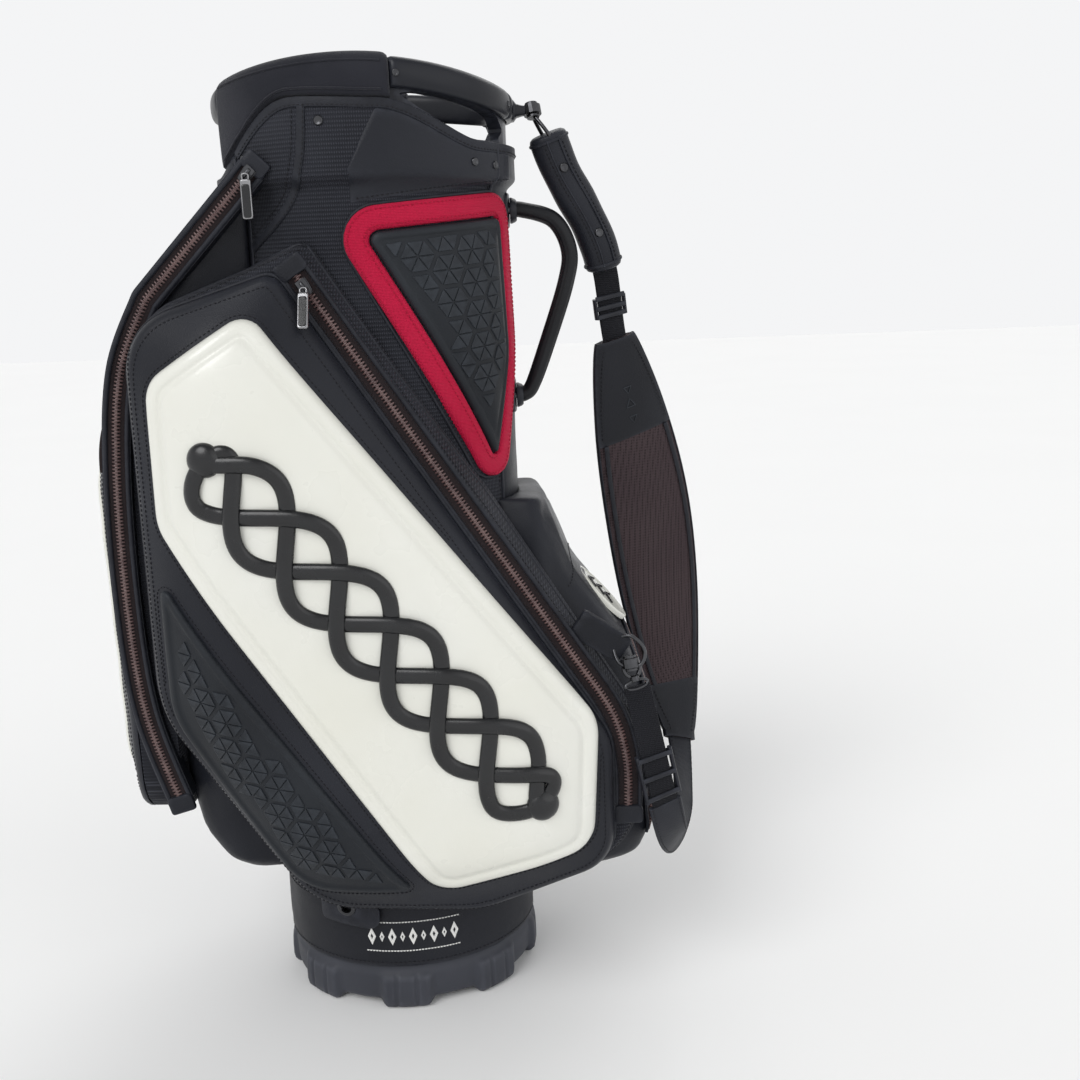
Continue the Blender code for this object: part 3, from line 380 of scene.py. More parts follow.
def velour():
    made = Shade("cuff_velour", (0.0190, 0.0198, 0.0255), 0.95, sheen=0.22, specular=0.15)
    made.soil((0.034, 0.035, 0.043), 14.0, 0.7, 0.03)
    return made.relief(made.cloud(1400.0, 4.0), 0.0006, 0.8)


def spacer_mesh():
    made = Shade("spacer_mesh", (0.044, 0.030, 0.034), 0.85, sheen=0.08, specular=0.2)
    holes = made.cells(330.0, "F1", True)
    made.soil((0.058, 0.041, 0.044), 12.0, 0.6, 0.04)
    # The darker hole centres are painted shade inside the mesh's openings.
    made.tint(made.spread(holes, 0.25, 0.45, 1.0, 0.0), (0.016, 0.011, 0.012), 0.9)
    return made.relief(holes, 0.0012)


def grip_rubber():
    made = Shade("grip_rubber", (0.0075, 0.0078, 0.0092), 0.44, specular=0.22)
    made.soil((0.018, 0.019, 0.023), 18.0, 0.6, 0.08)
    return made.relief(made.cloud(500.0, 3.0), 0.0002, 0.6)


def build_materials():
    made = {
        "pu": leather("black_leather", (0.0115, 0.0125, 0.0170), 0.38),
        "pu_soft": leather("soft_leather", (0.0095, 0.0102, 0.0135), 0.48, 900.0, 0.0003),
        "moulded_pu": leather(
            "moulded_leather", (0.0115, 0.0132, 0.0165), 0.46, 1300.0, 0.00018, (0.024, 0.028, 0.034)
        ),
        "weave": weave("diamond_weave", "round"),
        "weave_side": weave("diamond_weave_side", "side"),
        "weave_front": weave("diamond_weave_front", "front"),
        "red": woven(
            "red_ripstop", (0.50, 0.008, 0.045), (0.66, 0.018, 0.075), "round", 0.0026, 1.0,
            rough=0.50, deep=0.0004, sheen=0.03,
        ),
        "tape": woven(
            "zip_tape", (0.020, 0.0145, 0.0155), (0.048, 0.036, 0.038), "side", 0.0016, 1.0, 0.85, 0.0003
        ),
        "web": woven("webbing", (0.0075, 0.0078, 0.0100), (0.030, 0.031, 0.038), "strap", 0.0026, 0.7, 0.78),
        "divider": woven(
            "divider_cloth", (0.008, 0.008, 0.009), (0.022, 0.022, 0.024), "front", 0.0022, 1.0, 0.9, 0.0003
        ),
        "plastic": moulded("satin_plastic", (0.0100, 0.0108, 0.0145), 0.34, (0.024, 0.026, 0.034)),
        "base": moulded("base_plastic", (0.0360, 0.0385, 0.0480), 0.50, (0.070, 0.074, 0.090)),
        "liner": moulded("liner_plastic", (0.010, 0.010, 0.011), 0.55, (0.026, 0.026, 0.026)),
        "silver": metal("nickel", (0.34, 0.34, 0.35), 0.28),
        "gunmetal": metal("gunmetal", (0.085, 0.086, 0.092), 0.32),
        "thread": thread("black_thread", (0.014, 0.014, 0.017), (0.030, 0.030, 0.034), rough=0.6),
        "white_thread": thread("white_thread", (0.78, 0.78, 0.76), (0.9, 0.9, 0.88)),
        "red_thread": thread("red_thread", (0.36, 0.006, 0.032), (0.5, 0.02, 0.06), "round"),
        "white": white_foam(),
        "braid": braid_gloss(),
        "teeth": zip_teeth(),
        "velour": velour(),
        "mesh": spacer_mesh(),
        "rubber": grip_rubber(),
    }
    return {key: shade.made for key, shade in made.items()}


MAT = build_materials()

# ---------------------------------------------------------------- mesh tools


def add_mesh(name, verts, faces, mat, sharp=50):
    """A new smooth-shaded object with its faces turned outwards."""
    shape = bmesh.new()
    points = [shape.verts.new(v) for v in verts]
    for face in faces:
        shape.faces.new([points[i] for i in face])
    bmesh.ops.recalc_face_normals(shape, faces=shape.faces)
    mesh = bpy.data.meshes.new(name)
    shape.to_mesh(mesh)
    shape.free()
    mesh.materials.append(MAT[mat])
    mesh.shade_smooth()
    mesh.set_sharp_from_angle(angle=math.radians(sharp))
    obj = bpy.data.objects.new(name, mesh)
    bpy.context.scene.collection.objects.link(obj)
    return obj


def rings_to_faces(rings, closed, first=0):
    """Faces that join each ring to the next, and close the ends unless the rings close on themselves."""
    count = len(rings[0])
    faces = []
    pairs = list(zip(range(len(rings) - 1), range(1, len(rings))))
    if closed:
        pairs.append((len(rings) - 1, 0))
    for a, b in pairs:
        for i in range(count):
            j = (i + 1) % count
            here, there = first + a * count, first + b * count
            faces.append([here + i, here + j, there + j, there + i])
    if not closed:
        faces.append([first + i for i in range(count)])
        faces.append([first + (len(rings) - 1) * count + i for i in range(count)])
    return faces


def loft(name, rings, mat, closed=False, sharp=50):
    return add_mesh(name, [p for ring in rings for p in ring], rings_to_faces(rings, closed), mat, sharp)


class Batch:
    """Many small solids gathered into one object."""

    def __init__(self, name, mat, sharp=40):
        self.name, self.mat, self.sharp = name, mat, sharp
        self.verts, self.faces = [], []

    def rings(self, rings, closed=False):
        self.faces += rings_to_faces(rings, closed, len(self.verts))
        self.verts += [p for ring in rings for p in ring]

    def bar(self, path, across, out, normals, count=10, closed=False):
        """An oval bar along a path."""
        self.rings(sweep_rings(path, disc(across, out, count), normals, closed), closed)

    def cord(self, laid, across, out, count=10, lift=0.0):
        """A bar along a line that lies on a skin."""
        self.bar([p + n * lift for p, n in laid], across, out, [n for _, n in laid], count)

    def made(self):
        return add_mesh(self.name, self.verts, self.faces, self.mat, self.sharp)


def piece(obj, body, slot, replaces=()):
    """Rides obj on a body. fill, which both_sides takes, is not used."""
    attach(obj, body)
    if replaces:
        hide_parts(*replaces)
    return obj


def mirror(obj, name, body, slot, replaces=()):
    """The far side's copy of a near-side piece."""
    mesh = obj.data.copy()
    mesh.transform(Matrix.Scale(-1, 4, (0, 1, 0)))
    mesh.flip_normals()
    other = bpy.data.objects.new(name, mesh)
    bpy.context.scene.collection.objects.link(other)
    return piece(other, body, slot, replaces)


def both_sides(obj, slot, *nodes, fill=None):
    """Rides a near-side piece on the bag, and its mirrored copy too."""
    piece(obj, "bag", slot, nodes)
    far_nodes = [node.replace("near", "far") for node in nodes]
    mirror(obj, obj.name.replace("near", "far"), "bag", slot, far_nodes)


# ---------------------------------------------------------------- outlines and curves


def around(degrees, grow=0.0, z=0.0, half_x=TUBE_X, half_y=TUBE_Y):
    a = math.radians(degrees)
    return Vector(((half_x + grow) * math.cos(a), (half_y + grow) * math.sin(a), z))


def ease(value, keys):
    """Reads a curve through (place, height) keys, flat at each key and smooth between them."""
    if value <= keys[0][0]:
        return keys[0][1]
    for (x0, y0), (x1, y1) in zip(keys, keys[1:]):
        if value <= x1:
            t = (value - x0) / (x1 - x0)
            return y0 + (y1 - y0) * t * t * (3 - 2 * t)
    return keys[-1][1]


def rounded(corners, steps=10):
    outline = []
    for i, (u, v, radius) in enumerate(corners):
        here = Vector((u, v))
        before = (Vector(corners[i - 1][:2]) - here).normalized()
        after = (Vector(corners[(i + 1) % len(corners)][:2]) - here).normalized()
        half = before.angle(after) / 2
        start = here + before * radius / math.tan(half)
        end = here + after * radius / math.tan(half)
        centre = here + (before + after).normalized() * radius / math.sin(half)
        for k in range(steps + 1):
            way = (start - centre).lerp(end - centre, k / steps).normalized()
            outline.append(centre + way * radius)
    return outline


def inset(corners, distance):
    found = []
    for i, (u, v, radius) in enumerate(corners):
        here = Vector((u, v))
        before = (Vector(corners[i - 1][:2]) - here).normalized()
        after = (Vector(corners[(i + 1) % len(corners)][:2]) - here).normalized()
        place = here + (before + after).normalized() * distance / math.sin(before.angle(after) / 2)
        found.append((place.x, place.y, max(radius - distance, 0.002)))
    return found


def resample(points, count, closed=False):
    """The line again, as count points at equal distances."""
    line = list(points) + ([points[0]] if closed else [])
    lengths = [(b - a).length for a, b in zip(line, line[1:])]
    total = sum(lengths)
    found = []
    side, passed = 0, 0.0
    for k in range(count):
        target = total * k / (count if closed else count - 1)
        while side < len(lengths) - 1 and passed + lengths[side] < target:
            passed += lengths[side]
            side += 1
        share = (target - passed) / max(lengths[side], 1e-9)
        found.append(line[side].lerp(line[side + 1], min(max(share, 0.0), 1.0)))
    return found


def edge_line(corners, count, distance=None):
    """A rounded outline as count even points, moved inwards by distance where one is given."""
    if distance is not None:
        corners = inset(corners, distance)
    return resample(rounded(corners), count, True)


def oblong(half, low, high, low_radius, high_radius):
    """An upright oblong's corners, each with its radius."""
    bottom = [(-half, low, low_radius), (half, low, low_radius)]
    return bottom + [(half, high, high_radius), (-half, high, high_radius)]


def length_of(points):
    return sum((b - a).length for a, b in zip(points, points[1:]))


def smooth_path(points, steps=8, closed=False):
    """A Catmull-Rom curve through the points."""
    found = []
    last = len(points) - 1
    for i in range(len(points) if closed else last):
        near = [(i + k) % len(points) if closed else min(max(i + k, 0), last) for k in (-1, 0, 1, 2)]
        p = [points[k] for k in near]
        for k in range(steps):
            t = k / steps
            found.append(
                0.5
                * (
                    2 * p[1]
                    + (p[2] - p[0]) * t
                    + (2 * p[0] - 5 * p[1] + 4 * p[2] - p[3]) * t**2
                    + (3 * p[1] - p[0] - 3 * p[2] + p[3]) * t**3
                )
            )
    if not closed:
        found.append(points[-1].copy())
    return found


def crown(corners, point, roll):
    """0 on the edges of a convex polygon and 1 inside it, rolling over smoothly within roll metres."""
    height = 1.0
    for i, corner in enumerate(corners):
        start, end = Vector(corners[i - 1][:2]), Vector(corner[:2])
        along = (end - start).normalized()
        depth = abs(along.x * (point.y - start.y) - along.y * (point.x - start.x))
        t = min(depth / roll, 1.0)
        height *= 1 - (1 - t) ** 2
    return height


def edge_distance(outline, point):
    nearest = 1.0
    for i, end in enumerate(outline):
        place, share = intersect_point_line(point, outline[i - 1], end)
        place = (outline[i - 1], end, place.to_2d())[0 if share < 0 else 1 if share > 1 else 2]
        nearest = min(nearest, (point - place).length)
    return nearest


def inside(outline, point):
    hit = False
    for i, b in enumerate(outline):
        a = outline[i - 1]
        if (a.y > point.y) != (b.y > point.y):
            if point.x < a.x + (b.x - a.x) * (point.y - a.y) / (b.y - a.y):
                hit = not hit
    return hit


def bend(share):
    """Squares up a circle's cosine or sine, for a plan with full corners."""
    return math.copysign(abs(share) ** 0.6, share)


def bulge(t):
    """A quarter circle: 0 at 0 and 1 from 1 on."""
    t = min(max(t, 0.0), 1.0)
    return math.sqrt(max(1 - (1 - t) ** 2, 0.0))


def circle(count):
    return [2 * math.pi * k / count for k in range(count)]


def disc(radius_across, radius_out, count):
    turn = 2 * math.pi / count
    return [(radius_across * math.cos(turn * k), radius_out * math.sin(turn * k)) for k in range(count)]


def rounded_strip(wide, thick, steps=4):
    """A flat strip's section with half-round edges, from 0 to thick above the surface."""
    half, radius = wide / 2 - thick / 2, thick / 2
    found = []
    for side in (1, -1):
        for k in range(steps + 1):
            a = math.pi * (k / steps - 0.5) + (0 if side > 0 else math.pi)
            found.append((side * half + radius * math.cos(a), radius + radius * math.sin(a)))
    return found


def sweep_rings(path, section, normals, closed=False):
    """A section of (across, out) points carried along a path, out being each point's normal."""
    rings = []
    count = len(path)
    for i, point in enumerate(path):
        before = path[i - 1] if closed or i else path[0]
        after = path[(i + 1) % count] if closed or i < count - 1 else path[-1]
        along = (after - before).normalized()
        out = normals(i) if callable(normals) else normals[i]
        out = (out - along * out.dot(along)).normalized()
        across = along.cross(out)
        shape = section(i) if callable(section) else section
        rings.append([point + across * a + out * o for a, o in shape])
    return rings


def beside(path, across, out, normals):
    """The path moved sideways and outwards. across is a number, or read for each point."""
    def spot(i):
        return [(across(i) if callable(across) else across, out)]

    return [ring[0] for ring in sweep_rings(path, spot, normals)]


def wrinkle(p, size, depth):
    """A slow, repeatable unevenness, as soft goods have."""
    return depth * noise.noise(Vector((p[0], p[1], p[2])) / size)


def patch(name, corners, front, back, place, mat, insets, count=180):
    """A soft slab over a rounded convex outline, in rings parallel to its edge and then towards its middle.

    front(p, d) and back(p) are depths; d is how far p lies inside the edge.
    """
    edge = resample(rounded(corners), count, True)
    middle = sum(edge, Vector((0, 0))) / count
    shares = (0.93, 0.86, 0.79, 0.72, 0.65, 0.58, 0.51, 0.44, 0.37, 0.30, 0.22, 0.14, 0.06)
    loops = [(resample(rounded(inset(corners, d)), count, True), d) for d in insets]
    last, deep = loops[-1]
    loops += [([middle + (p - middle) * s for p in last], deep + (1 - s) * 0.05) for s in shares]
    rings = []
    for share in (0.1, 0.4, 0.7, 1.0):
        rings.append([place(p, back(p)) for p in [middle + (q - middle) * share for q in edge]])
    rings += [[place(p, front(p, d)) for p in loop] for loop, d in loops]
    return loft(name, rings, mat)


# ---------------------------------------------------------------- trim that lies on a surface

# (place along it, height, thickness) of a stitch, and (radius, height) of a stud, as shares of their sizes.
STITCH = ((-1.0, -0.7, 0.5), (-0.72, 0.25, 1.0), (0.0, 0.7, 1.1), (0.72, 0.25, 1.0), (1.0, -0.7, 0.5))
STUD = (
    (0.98, -0.3), (1.0, 0.35), (0.93, 0.80), (0.80, 1.0),
    (0.66, 0.92), (0.50, 0.70), (0.20, 0.66), (0.03, 0.66),
)
# (place across the zip, half length along it, bottom, top) of a tooth, in mm.
TOOTH = ((3.8, 0.60, 0.5, 1.5), (2.3, 0.80, 0.2, 2.3), (0.3, 0.86, 0.1, 2.7), (-1.3, 0.62, 0.5, 2.2))
TOOTH_PITCH = 0.0033
TAPE_FROM = 0.0012


class Skin:
    """The surfaces that trim is laid on, as a ray from outside meets them."""

    def __init__(self, *objs):
        verts, faces = [], []
        for obj in objs:
            first = len(verts)
            verts += [v.co.copy() for v in obj.data.vertices]
            faces += [[first + i for i in polygon.vertices] for polygon in obj.data.polygons]
        self.tree = BVHTree.FromPolygons(verts, faces)

    def lay(self, rays, lift=0.0):
        """(point, normal) where each (origin, way) ray lands, the normals evened out along the line."""
        found = []
        for origin, way in rays:
            place, normal, _, _ = self.tree.ray_cast(origin, way)
            if place is not None:
                found.append((place, normal if normal.dot(way) < 0 else -normal))
        smooth = []
        for i, (place, _) in enumerate(found):
            near = found[max(i - 2, 0) : i + 3]
            normal = sum((n for _, n in near), Vector()).normalized()
            smooth.append((place + normal * lift, normal))
        return smooth


def side_rays(points):
    return [(Vector((p[0], -0.6, p[1])), Vector((0, 1, 0))) for p in points]


def tube_rays(points):
    """Rays towards the tube's axis, from (degrees, z) points."""
    rays = []
    for degrees, z in points:
        origin = around(degrees, 0.2, z)
        rays.append((origin, (Vector((0, 0, z)) - origin).normalized()))
    return rays


def end_rays(points, side):
    """Rays at the front (side -1) or the spine (side 1), from (y, z) points."""
    return [(Vector((0.6 * side, p[0], p[1])), Vector((-side, 0, 0))) for p in points]


def curved(points):
    """A smooth line through 2-D points, spaced evenly for a line of rays."""
    line = smooth_path([Vector(p) for p in points], 10)
    return resample(line, max(int(length_of(line) / 0.003), 4))


def piping(name, laid, radius, mat, closed=False, sink=0.3):
    """A welt: a thin round cord along a seam, part sunk into it."""
    path = [p - n * radius * sink for p, n in laid]
    rings = sweep_rings(path, disc(radius, radius, 10), [n for _, n in laid], closed)
    return loft(name, rings, mat, closed)


def ribbon(name, laid, wide, thick, mat, closed=False):
    """A flat tape sewn down along a line."""
    normals = [n for _, n in laid]
    rings = sweep_rings([p for p, _ in laid], rounded_strip(wide, thick), normals, closed)
    return loft(name, rings, mat, closed)


def stitch_row(batch, laid, pitch=0.0042, share=0.68, radius=0.00042):
    """A row of single stitches, each a short round thread that dips at its ends."""
    points = [p for p, _ in laid]
    total = length_of(points)
    count = int(total / pitch)
    if count < 2:
        return
    spots = resample(points, count * 2 + 1)
    for k in range(count):
        a, b = spots[2 * k], spots[2 * k + 2]
        i = min(int(k / count * len(laid)), len(laid) - 1)
        normal = laid[i][1]
        along = (b - a).normalized()
        side = along.cross(normal).normalized()
        middle = (a + b) / 2
        rings = []
        for t, lift, grow in STITCH:
            centre = middle + along * (t * pitch * share / 2) + normal * radius * lift
            rings.append([centre + (side * x + normal * y) for x, y in disc(radius * grow, radius * grow, 6)])
        batch.rings(rings)


def dome_stud(batch, place, normal, radius, tall):
    """A round snap or rivet head with a rolled rim and a shallow dish."""
    side = normal.orthogonal().normalized()
    other = normal.cross(side)
    rings = []
    for r, h in STUD:
        rings.append([
            place + (side * x + other * y) + normal * tall * h
            for x, y in disc(radius * r, radius * r, 20)
        ])
    batch.rings(rings)


def button(batch, place, normal, radius, tall):
    """A plain domed button."""
    side = normal.orthogonal().normalized()
    other = normal.cross(side)
    rings = []
    for k in range(10):
        a = math.pi / 2 * k / 10
        across, up = radius * math.cos(a), tall * math.sin(a) - 0.5 * MM
        rings.append([place + side * x + other * y + normal * up for x, y in disc(across, across, 40)])
    batch.rings(rings)


def ring_loop(batch, points, radius, out):
    """A closed wire, such as a D-ring, through the points."""
    batch.bar(points, radius, radius, lambda i: out, closed=True)


def drape(name, corners, thick, skin, rays, mat, count, edge=0.0016):
    """A thin piece sewn on a surface, its edge rolled down. rays(points) turns (u, v) points into rays."""
    outline = edge_line(corners, count)
    middle = sum(outline, Vector((0, 0))) / count
    last = edge_line(corners, count, edge)
    loops = [(outline, -0.4 * MM), (outline, 0.35 * thick)]
    loops += [(edge_line(corners, count, edge * 0.4), 0.8 * thick), (last, thick)]
    for share in (0.85, 0.7, 0.55, 0.4, 0.25, 0.08):
        loops.append(([middle + (p - middle) * share for p in last], thick))
    rings = []
    for loop, lift in loops:
        ring = []
        for origin, way in rays(loop):
            place, normal, _, _ = skin.tree.ray_cast(origin, way)
            ring.append(place + (normal if normal.dot(way) < 0 else -normal) * lift)
        rings.append(ring)
    return loft(name, rings, mat)


def mosaic(batch, corners, margin, side, lean, surface, tall):
    """Raised triangles in six-petal groups, inside an outline. surface(p, lift) is a point on the panel."""
    field = rounded(inset(corners, margin))
    low = Vector((min(p.x for p in field), min(p.y for p in field)))
    high = Vector((max(p.x for p in field), max(p.y for p in field)))
    middle = (low + high) / 2
    reach = int((high - low).length / side) + 2
    turn = Matrix.Rotation(lean, 2)
    across, up = Vector((side, 0)), Vector((side / 2, side * math.sqrt(3) / 2))
    for row in range(-reach, reach):
        for column in range(-reach, reach):
            for kind in (0, 1):
                cells = [(column, row), (column + 1, row), (column, row + 1)]
                if kind:
                    cells = [(column + 1, row), (column + 1, row + 1), (column, row + 1)]
                corner_points = [middle + turn @ (across * c + up * r) for c, r in cells]
                if not all(inside(field, p) for p in corner_points):
                    continue
                heart = next(p for p, (c, r) in zip(corner_points, cells) if (c - r) % 3 == 0)
                centre = sum(corner_points, Vector((0, 0))) / 3
                centre_to = centre + (heart - centre) * 0.10
                rings = []
                for share, lift in ((0.84, -0.3 * MM), (0.82, tall * 0.6), (0.74, tall)):
                    ring = []
                    for i, p in enumerate(corner_points):
                        q = corner_points[(i + 1) % 3]
                        for t in (0.06, 0.5, 0.94):
                            spot = p.lerp(q, t)
                            ring.append(surface(centre_to + (spot - centre) * share, lift))
                    rings.append(ring)
                batch.rings(rings)


def zip_half(name, path, normals, side, wide, body):
    """One half of a zip: its tape, and its row of teeth, which meet the other half's on the path."""
    tape_wide = wide / 2 - TAPE_FROM
    middle = side * (TAPE_FROM + tape_wide / 2)
    section = [(a + middle, o) for a, o in rounded_strip(tape_wide, 0.8 * MM)]
    tape = piece(loft(f"{name}_tape", sweep_rings(path, section, normals), "tape"), body, "zip_coil")
    teeth = Batch(f"{name}_teeth", "teeth")
    count = int(length_of(path) / TOOTH_PITCH)
    spots = resample(path, count * 2 + 1)
    ways = resample(normals, count * 2 + 1)
    for k in range(count):
        i = 2 * k + (1 if side > 0 else 0)
        along = (spots[min(i + 1, len(spots) - 1)] - spots[max(i - 1, 0)]).normalized()
        out = ways[i].normalized()
        across = along.cross(out) * side
        rings = []
        for a, half, low, high in TOOTH:
            shape = [(-half, low), (half, low), (half, high - 0.3), (half * 0.5, high)]
            shape += [(-half * 0.5, high), (-half, high - 0.3)]
            rings.append([spots[i] + across * a * MM + along * x * MM + out * h * MM for x, h in shape])
        teeth.rings(rings)
    return tape, piece(teeth.made(), body, "zip_coil")


# ---------------------------------------------------------------- shared shapes, as in the CAD

# (degrees from the spine, height) of the tube cover's upper edge.
COVER_TOP = ((0, 0.830), (36, 0.830), (80, 0.863), (112, 0.866), (160, 0.808), (180, 0.808))


def rim_height(degrees):
    x = CUFF_X * math.cos(math.radians(degrees))
    return RIM_TOP - (0.80 if x < 0 else 1.10) * x * x


def cover_top(degrees):
    around_spine = abs((degrees + 180) % 360 - 180)
    return ease(around_spine, COVER_TOP)


def tube_depth(x):
    reach = min(abs(x), SEAM_X)
    on_oval = TUBE_Y * math.sqrt(1 - (reach / TUBE_X) ** 2)
    return on_oval + (abs(x) - reach) * SEAM_SLOPE


def near_side(p, depth):
    return Vector((p.x, -depth, p.y))


def front_side(p, depth):
    return Vector((-depth, p.x, p.y))


def on_tube(p, grow):
    return around(p.x / ARC_PER_DEGREE, grow, p.y)


def cover_depth(p):
    return POCKET_EDGE_Y + (POCKET_MID_Y - POCKET_EDGE_Y) * crown(COVER, p, 0.085)


def arc_rays(points):
    """Rays at the tube from (arc metres, z) points."""
    return tube_rays([(p.x / ARC_PER_DEGREE, p.y) for p in points])


# ---------------------------------------------------------------- soft skins


def puff(obj, cap, voxel=0.005, pressure=4.0, held=None):
    """Swells a padded shape with Blender's cloth, no point moving further than cap metres."""
    context = bpy.context
    context.view_layer.objects.active = obj
    remesh = obj.modifiers.new("remesh", "REMESH")
    remesh.mode = "VOXEL"
    remesh.voxel_size = voxel
    bpy.ops.object.modifier_apply(modifier=remesh.name)
    start = [v.co.copy() for v in obj.data.vertices]
    cloth = obj.modifiers.new("cloth", "CLOTH")
    cloth.settings.use_pressure = True
    cloth.settings.uniform_pressure_force = pressure
    cloth.settings.quality = 5
    cloth.settings.effector_weights.gravity = 0.0
    if held:
        group = obj.vertex_groups.new(name="held")
        group.add([v.index for v in obj.data.vertices if held(v.co)], 1.0, "REPLACE")
        cloth.settings.vertex_group_mass = group.name
    scene = context.scene
    for step in range(1, 21):
        scene.frame_set(step)
    shape = obj.evaluated_get(context.evaluated_depsgraph_get()).to_mesh()
    moved = [v.co.copy() for v in shape.vertices]
    obj.evaluated_get(context.evaluated_depsgraph_get()).to_mesh_clear()
    obj.modifiers.remove(obj.modifiers["cloth"])
    scene.frame_set(1)
    for vertex, before, after in zip(obj.data.vertices, start, moved):
        way = after - before
        if way.length > cap:
            way = way.normalized() * cap
        vertex.co = before + way
    smooth = obj.modifiers.new("smooth", "SMOOTH")
    smooth.factor, smooth.iterations = 0.5, 2
    bpy.ops.object.modifier_apply(modifier=smooth.name)
    fine = obj.modifiers.new("fine", "SUBSURF")
    fine.levels = fine.render_levels = 1
    bpy.ops.object.modifier_apply(modifier=fine.name)
    obj.data.shade_smooth()
    return obj


# ---------------------------------------------------------------- base


# (grow, z, lug, lift between the lugs, groove depth) up the foot's wall.
FOOT_PROFILE = (
    (-0.034, 0.0, 0.0, 0.0, 0.0),
    (-0.030, 0.006, 0.0, 0.0, 0.0),
    (-0.020, 0.006, 0.0, 0.0, 0.0),
    (-0.016, 0.0004, 0.0, 0.007, 0.0),
    (-0.008, 0.0, 0.003, 0.007, 0.0),
    (-0.004, 0.0, 0.004, 0.007, 0.0),
    (-0.0015, 0.0015, 0.0045, 0.007, 0.4),
    (0.0003, 0.0045, 0.0055, 0.006, 0.8),
    (0.001, 0.010, 0.006, 0.003, 1.0),
    (0.0015, 0.020, 0.0055, 0.0, 1.0),
    (0.0018, 0.030, 0.0048, 0.0, 1.0),
    (0.0020, 0.0345, 0.0040, 0.0, 0.8),
    (0.0016, 0.0375, 0.0020, 0.0, 0.2),
    (0.0004, 0.0400, 0.0004, 0.0, 0.0),
    (0.0, 0.043, 0.0, 0.0, 0.0),
    (0.0, 0.060, 0.0, 0.0, 0.0),
    (0.0, 0.1290, 0.0, 0.0, 0.0),
    (-0.0008, 0.1300, 0.0, 0.0, 0.0),
    (-0.0042, 0.1300, 0.0, 0.0, 0.0),
    (-0.0050, 0.1290, 0.0, 0.0, 0.0),
    (-0.0050, 0.022, 0.0, 0.0, 0.0),
)
# (half length, height) from the band's lower edge to its middle.
BAND_EDGE = (
    (0.1248, 0.0), (0.1272, 0.0006), (0.1288, 0.004), (0.1293, 0.010), (0.1297, 0.020), (0.1299, 0.038),
)


def lug(degrees):
    """1 on a lug, 0 between two lugs and smooth in between."""
    wave = math.cos(math.radians(degrees * LUGS))
    t = min(max(0.5 + 1.6 * wave, 0.0), 1.0)
    return t * t * (3 - 2 * t)


def beside_groove(degrees):
    """0 in the two grooves across each lug, as on a tyre's shoulder, and 1 beside them."""
    place = ((degrees * LUGS / 360 + 0.5) % 1.0 - 0.5) * 10.0
    return min(1.0, abs(abs(place) - 1.0) / 0.28)


def make_foot():
    rings = []
    for grow, z, lugs, lift, cut in FOOT_PROFILE:
        ring = []
        for i in range(480):
            a = 360 * i / 480
            half = lug(a)
            groove = cut * 0.0016 * half * (1 - beside_groove(a))
            ring.append(around(a, grow + lugs * half - groove, z + lift * (1 - half), FOOT_X, FOOT_Y))
        rings.append(ring)
    piece(loft("base_foot", rings, "base", sharp=60), "bag", "base_plastic", ["base_cup"])


def make_band():
    """The padded band, wrapped round the foot's wall with its edges rolled in and stitched."""
    count = 300
    tall = BAND_HIGH - BAND_LOW
    rings = []
    for r, z in list(BAND_EDGE) + [(r, tall - z) for r, z in reversed(BAND_EDGE[:-1])]:
        ring = []
        for i in range(count):
            p = around(360 * i / count, 0, BAND_LOW + z, r, r - 0.015)
            ring.append(around(360 * i / count, wrinkle(p, 0.02, 0.3 * MM), p.z, r, r - 0.015))
        rings.append(ring)
    inner = [around(360 * i / count, 0, BAND_LOW + tall / 2, 0.1246, 0.1096) for i in range(count)]
    band = loft("base_band_skin", rings + [inner], "pu_soft", closed=True)
    piece(band, "bag", "black_pu", ["base_band"])
    skin = Skin(band)
    rows = Batch("base_band_stitches", "thread")
    for z in (BAND_LOW + 0.0060, BAND_HIGH - 0.0065, BAND_HIGH - 0.0100):
        laid = skin.lay(tube_rays([(-180 + 360 * i / 220, z) for i in range(221)]), 0.1 * MM)
        stitch_row(rows, laid, 0.0046)
    piece(rows.made(), "bag", "black_pu")
    return skin


def make_emblem(band):
    """An embroidered row of diamonds between two bars, in the middle of the band's near side."""
    emblem = Batch("base_band_emblem", "white_thread")
    level = 0.081
    for k in range(9):
        middle = -105 + 4.9 * k
        size = 1.0 if k % 2 == 0 else 0.6
        wide, tall = 2.0 * size, 0.0095 * size
        corners = [(middle - wide, level), (middle, level + tall)]
        corners += [(middle + wide, level), (middle, level - tall)]
        loops = []
        for share, lift in ((1.0, -0.3), (0.97, 0.5), (0.80, 0.9), (0.42, 0.9), (0.36, 0.3), (0.30, -0.1)):
            edge = [(middle + (a - middle) * share, level + (z - level) * share) for a, z in corners]
            line = resample([Vector(p) for p in edge], 24, True)
            loops.append([p for p, _ in band.lay(tube_rays(line), lift * MM)])
        emblem.rings(loops)
    for z in (level - 0.0155, level + 0.0155):
        laid = band.lay(tube_rays([(-108 + 45 * i / 60, z) for i in range(61)]), 0.0)
        stitch_row(emblem, laid, 0.0030, 0.9, 0.0006)
    piece(emblem.made(), "bag", "white_pu")


# ---------------------------------------------------------------- tube cover

BODY_PANELS = (
    ("near", -142, -26, "weave", "woven_fabric", "body_panel_near"),
    ("far", 26, 142, "weave", "woven_fabric", "body_panel_far"),
    ("front", 142, 218, "pu", "black_pu", "body_panel_front"),
    ("spine", -26, 26, "pu", "black_pu", "spine_panel"),
)
SEAM_ANGLES = (-142, -26, 26, 142)


